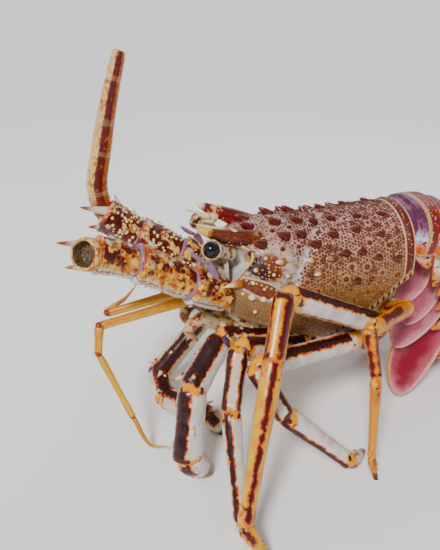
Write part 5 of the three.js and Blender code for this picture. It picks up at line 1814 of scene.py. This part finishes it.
def addAbdomenFlaps(skin, index):
    _, slope, half, _ = abdomenRows[index]
    start, end = abdomenPath[index : index + 2]
    heading = headingDown(slope)
    over = overOf(heading)
    shrink = shrinkOf(index)
    for _, side in sides:
        root = start + (end - start) * 0.55 + vec(0, side * (half - 6), 0) - over * 4
        reach = abdomen["flapReach"] * shrink if index else 16
        tip = root + vec(0, 3 * side, 0) - over * reach + heading * 7
        addBlade(
            skin, root, tip, heading, lambda u: 9.5 * shrink * (1 - u) ** 0.6 + 0.9, thickness=2.8,
            relief=lambda u, w: 0.25 * np.sin(7 * w) * (1 - u), rings=36, corners=44,
        )


# Five large beads across the back and two rows of small ones along the ridge
def addAbdomenBeads(skin, index):
    _, slope, half, rise = abdomenRows[index]
    start, end = abdomenPath[index : index + 2]
    over = overOf(headingDown(slope))
    across = vec(0, 1, 0)
    spots = np.radians(np.linspace(-66, 66, 5))[:, None]
    seat = start + (end - start) * 0.62 + across * np.sin(spots) * half
    seat = seat + over * np.abs(np.cos(spots)) ** abdomen["backPower"] * rise * 0.98
    out = across * np.sin(spots) + over * np.cos(spots)
    addGranules(skin, seat + out * 0.2, out, 1.5, 1.5, 10, {"red": 1.0})
    for along, phase in abdomen["beadRows"]:
        a = (np.linspace(0.12, np.pi - 0.12, 42) + phase)[:, None]
        y = signedPower(np.cos(a), abdomen["sidePower"]) * half * 1.03
        z = np.abs(np.sin(a)) ** abdomen["backPower"] * rise * 1.03
        place = start + (end - start) * along + across * y + over * z
        out = unit(across * np.cos(a) / half + over * np.sin(a) / rise)
        addGranules(skin, place + out * 0.3, out, 0.62, 0.6, 7, {"red": 0.2, "cream": 1.0})


def makeAbdomen():
    ringPaint, flapPaint = abdomenMaterial(), pleuraMaterial()
    for index in range(len(abdomenRows)):
        ring, flaps, beads = Skin(), Skin(), Skin()
        addAbdomenRing(ring, index)
        ring.build(f"abdomenRing.{index + 1}", ringPaint, "abdomen_shell", f"abdomen_{index + 1}")
        addAbdomenFlaps(flaps, index)
        flaps.build(f"abdomenFlaps.{index + 1}", flapPaint, "abdomen_shell")
        addAbdomenBeads(beads, index)
        beads.build(f"abdomenBeads.{index + 1}", bpy.data.materials["granules"], "abdomen_shell")


makeAbdomen()


# The tail fan

tailFan = {
    "slope": 30.0,
    "plate": (0.9, 51.6),  # from and to, behind the last ring
    "plateWidth": 15,
    "bladeWidth": 12.5,
    "spreads": (18, 42),  # degrees of the inner and the outer blade
    "stem": [[0, 4.6, 3.7], [0.6, 7, 4.5], [0.9, 5.6, 3.6], [1, 3, 2]],
}


def fanMaterial():
    m = Shader("tailFan")
    u, w = m.fields("u", "w")
    wander = m.noise(6, 3, 0.6) - 0.5
    color = m.mix((u + wander * 0.4).step(0.15, 0.4), "#7b3b57", "#8d4638")
    color = m.mix((u + wander * 0.3).step(0.42, 0.5), color, "#c98a4e")
    color = m.mix((u + wander * 0.25).step(0.62, 0.72), color, "#5e2a3c")
    color = m.mix((u + wander * 0.12).step(0.9, 0.95), color, "#e0b680")
    color = m.mix(m.noise(2.6, 2).step(0.6, 0.66) * 0.8, color, "#ecd3ba")
    ribs = (w * 34).sine() * 0.5
    return m.finish(color, 0.34, m.bump(ribs + m.noise(1.4, 3), 0.35, 0.3), coat=0.35)


def tailOutline(width):
    def outline(u):
        swell = 0.72 + 0.28 * np.sin(np.pi * np.minimum(u * 0.9, 0.5))
        return width * swell * (1 - 0.32 * u**6)

    return outline


def tailRibs(u, w):
    return 0.18 * np.cos(w * 16) * ramp(u, 0.25, 0.5) + 0.5 * hump(w, 0, 0.12) * (1 - u)


def makeTailFan():
    paint = fanMaterial()
    heading, across = headingDown(tailFan["slope"]), vec(0, 1, 0)
    over = overOf(heading)
    root = abdomenPath[-1]
    plate = Skin()
    start, tip = (root + heading * place for place in tailFan["plate"])
    outline = tailOutline(tailFan["plateWidth"])
    addBlade(plate, start, tip, across, outline, thickness=4, relief=tailRibs, corners=72)
    plate.build("tailPlate", paint, "tail_fan", "telson")
    outline = tailOutline(tailFan["bladeWidth"])
    for sideName, side in sides:
        fan = Skin()
        for k, spread in enumerate(np.radians(tailFan["spreads"])):
            along = heading * np.cos(spread) + across * side * np.sin(spread)
            start = root + across * side * (20 + 2 * k) + heading * 4 - over * 3.8
            tip = start + along * (52 - 3 * k) + vec(0, 0, -1.5 * k)
            addBlade(fan, start, tip, across, outline, thickness=2, relief=tailRibs, corners=64)
        first = root + across * side * 19 + heading * 0.6
        last = root + across * side * 23 + heading * 12 - over * 3
        stem = Tube([first, (first + last) / 2, last], tailFan["stem"])
        addTube(fan, stem, 40, 40, fields=lambda t, turn: {"u": 0.1, "w": 0.0})
        fan.build("tailBlades." + sideName, paint, "tail_fan", "uropod_" + sideName)


makeTailFan()


# Pleopods, the soft leaves under the abdomen

leafRows = [  # root out from the middle, tip out from the middle, reach forwards, drop, half width
    [12, 22, 22, 36, 12],
    [14, 26.5, 31, 41, 13.5],
    [16, 30, 47, 39, 16],
    [18, 34, 40, 64, 18],
]
leaf = {"turn": 0.36, "bow": -2.0, "cup": 0.8}


def leafMaterial():
    m = Shader("leaf")
    u, w, upper = m.fields("u", "w", "upper")
    away = abs(w)
    wander = m.noise(12, 3, 0.6) - 0.5
    red = m.mix((away + wander * 0.9).step(0.2, 0.9), "#7c2130", "#b25f68")
    red = m.mix((u + wander * 0.3).step(0.8, 1.0) * 0.8, red, "#d39c9e")
    pink = m.mix((away + wander * 1.2).step(0.2, 0.8), "#9c5560", "#bd858c")
    veins = ((w * 9 + wander * 5).sine() * 0.5 + 0.5) * m.noise(4, 2)
    edge = (away + u * 0.1 + (m.noise(3, 2) - 0.5) * 0.12).step(0.84, 0.96)
    color = m.mix(edge * 0.8, m.mix(upper, red, pink), "#e8b0a4")
    color = m.mix((w * -1 + u * 0.05).step(0.9, 0.97), color, "#d98f3c")
    normal = m.bump(veins + m.noise(2, 2), 0.35, 0.4)
    return m.finish(color, 0.22 + 0.1 * veins, normal, coat=0.6, soft=0.15)


def makeLeaves():
    paint = leafMaterial()
    for sideName, side in sides:
        for i, (rootOut, tipOut, reach, drop, width) in enumerate(leafRows, 1):
            heading = headingDown(abdomenRows[i][1])
            inwards = -overOf(heading)
            belly = (abdomenPath[i] + abdomenPath[i + 1]) / 2 + inwards * abdomen["drop"] * shrinkOf(i)
            root = belly - inwards + vec(0, side * rootOut, 0)
            tip = root + vec(-reach, side * (tipOut - rootOut), -drop)
            across = vec(drop, side * leaf["turn"] * np.hypot(drop, reach), -reach)

            def outline(u):
                wide = np.sin(np.pi * (0.05 + 0.87 * u**0.9)) ** 0.8
                return (1 + width * wide) * np.sqrt(1.02 - u**16)

            def folds(u, w):
                wave = 0.45 * np.sin(w * 5 + u * 3 + i) * np.sin(np.pi * u)
                return wave + 0.25 * hump(np.abs(w), 0.9, 0.1)

            skin = Skin()
            addBlade(
                skin, root, tip, across, outline, cup=leaf["cup"] * side, bow=leaf["bow"] * (i - 1),
                relief=folds, rings=96, corners=88, fields={"upper": i < 4},
            )
            name, node = f"pleopodLeaf.{sideName}.{i + 1}", f"pleopod_{sideName}_{i + 1}"
            skin.build(name, paint, "pleopod_leaf", node)


makeLeaves()
print("abdomen and tail ready")


# Floor and light

studio = {
    "floor": 12.0,  # half width in metres
    "floorColor": (0.92, 0.91, 0.89, 1.0),
    "skyColor": (0.93, 0.96, 1.0, 1.0),
    "sky": 0.42,
    "target": (-90, 0, 90),
    "keySoftness": 14,  # degrees: a far, even light with soft shadow edges
}
lights = [  # name, place, width in metres (0 for the far light), power
    ["key", (-420, -480, 720), 0, 3.5],
    ["fill", (-700, 100, 380), 0.8, 0.8],
    ["rim", (300, 560, 620), 0.6, 1.2],
]


def addStage():
    half = studio["floor"]
    corners = [(-half, -half, 0), (half, -half, 0), (half, half, 0), (-half, half, 0)]
    mesh = bpy.data.meshes.new("floor")
    mesh.from_pydata(corners, [], [(0, 1, 2, 3)])
    mesh.materials.append(Shader("floorPaint").finish(studio["floorColor"], 0.85))
    floor = bpy.data.objects.new("floor", mesh)
    bpy.context.scene.collection.objects.link(floor)
    world = bpy.data.worlds.new("studio")
    bpy.context.scene.world = world
    world.use_nodes = True
    sky = world.node_tree.nodes["Background"]
    sky.inputs["Color"].default_value = studio["skyColor"]
    sky.inputs["Strength"].default_value = studio["sky"]


def addLights():
    for name, place, width, power in lights:
        data = bpy.data.lights.new(name, "AREA" if width else "SUN")
        if width:
            data.size = width
        else:
            data.angle = np.radians(studio["keySoftness"])
        data.energy = power
        lamp = bpy.data.objects.new(name, data)
        lamp.location = inFrame(place)
        towards = unit(inFrame(studio["target"]) - inFrame(place))
        lamp.rotation_euler = (np.arccos(-towards[2]), 0, np.arctan2(-towards[0], towards[1]))
        bpy.context.scene.collection.objects.link(lamp)


addStage()
addLights()
print("stage ready")
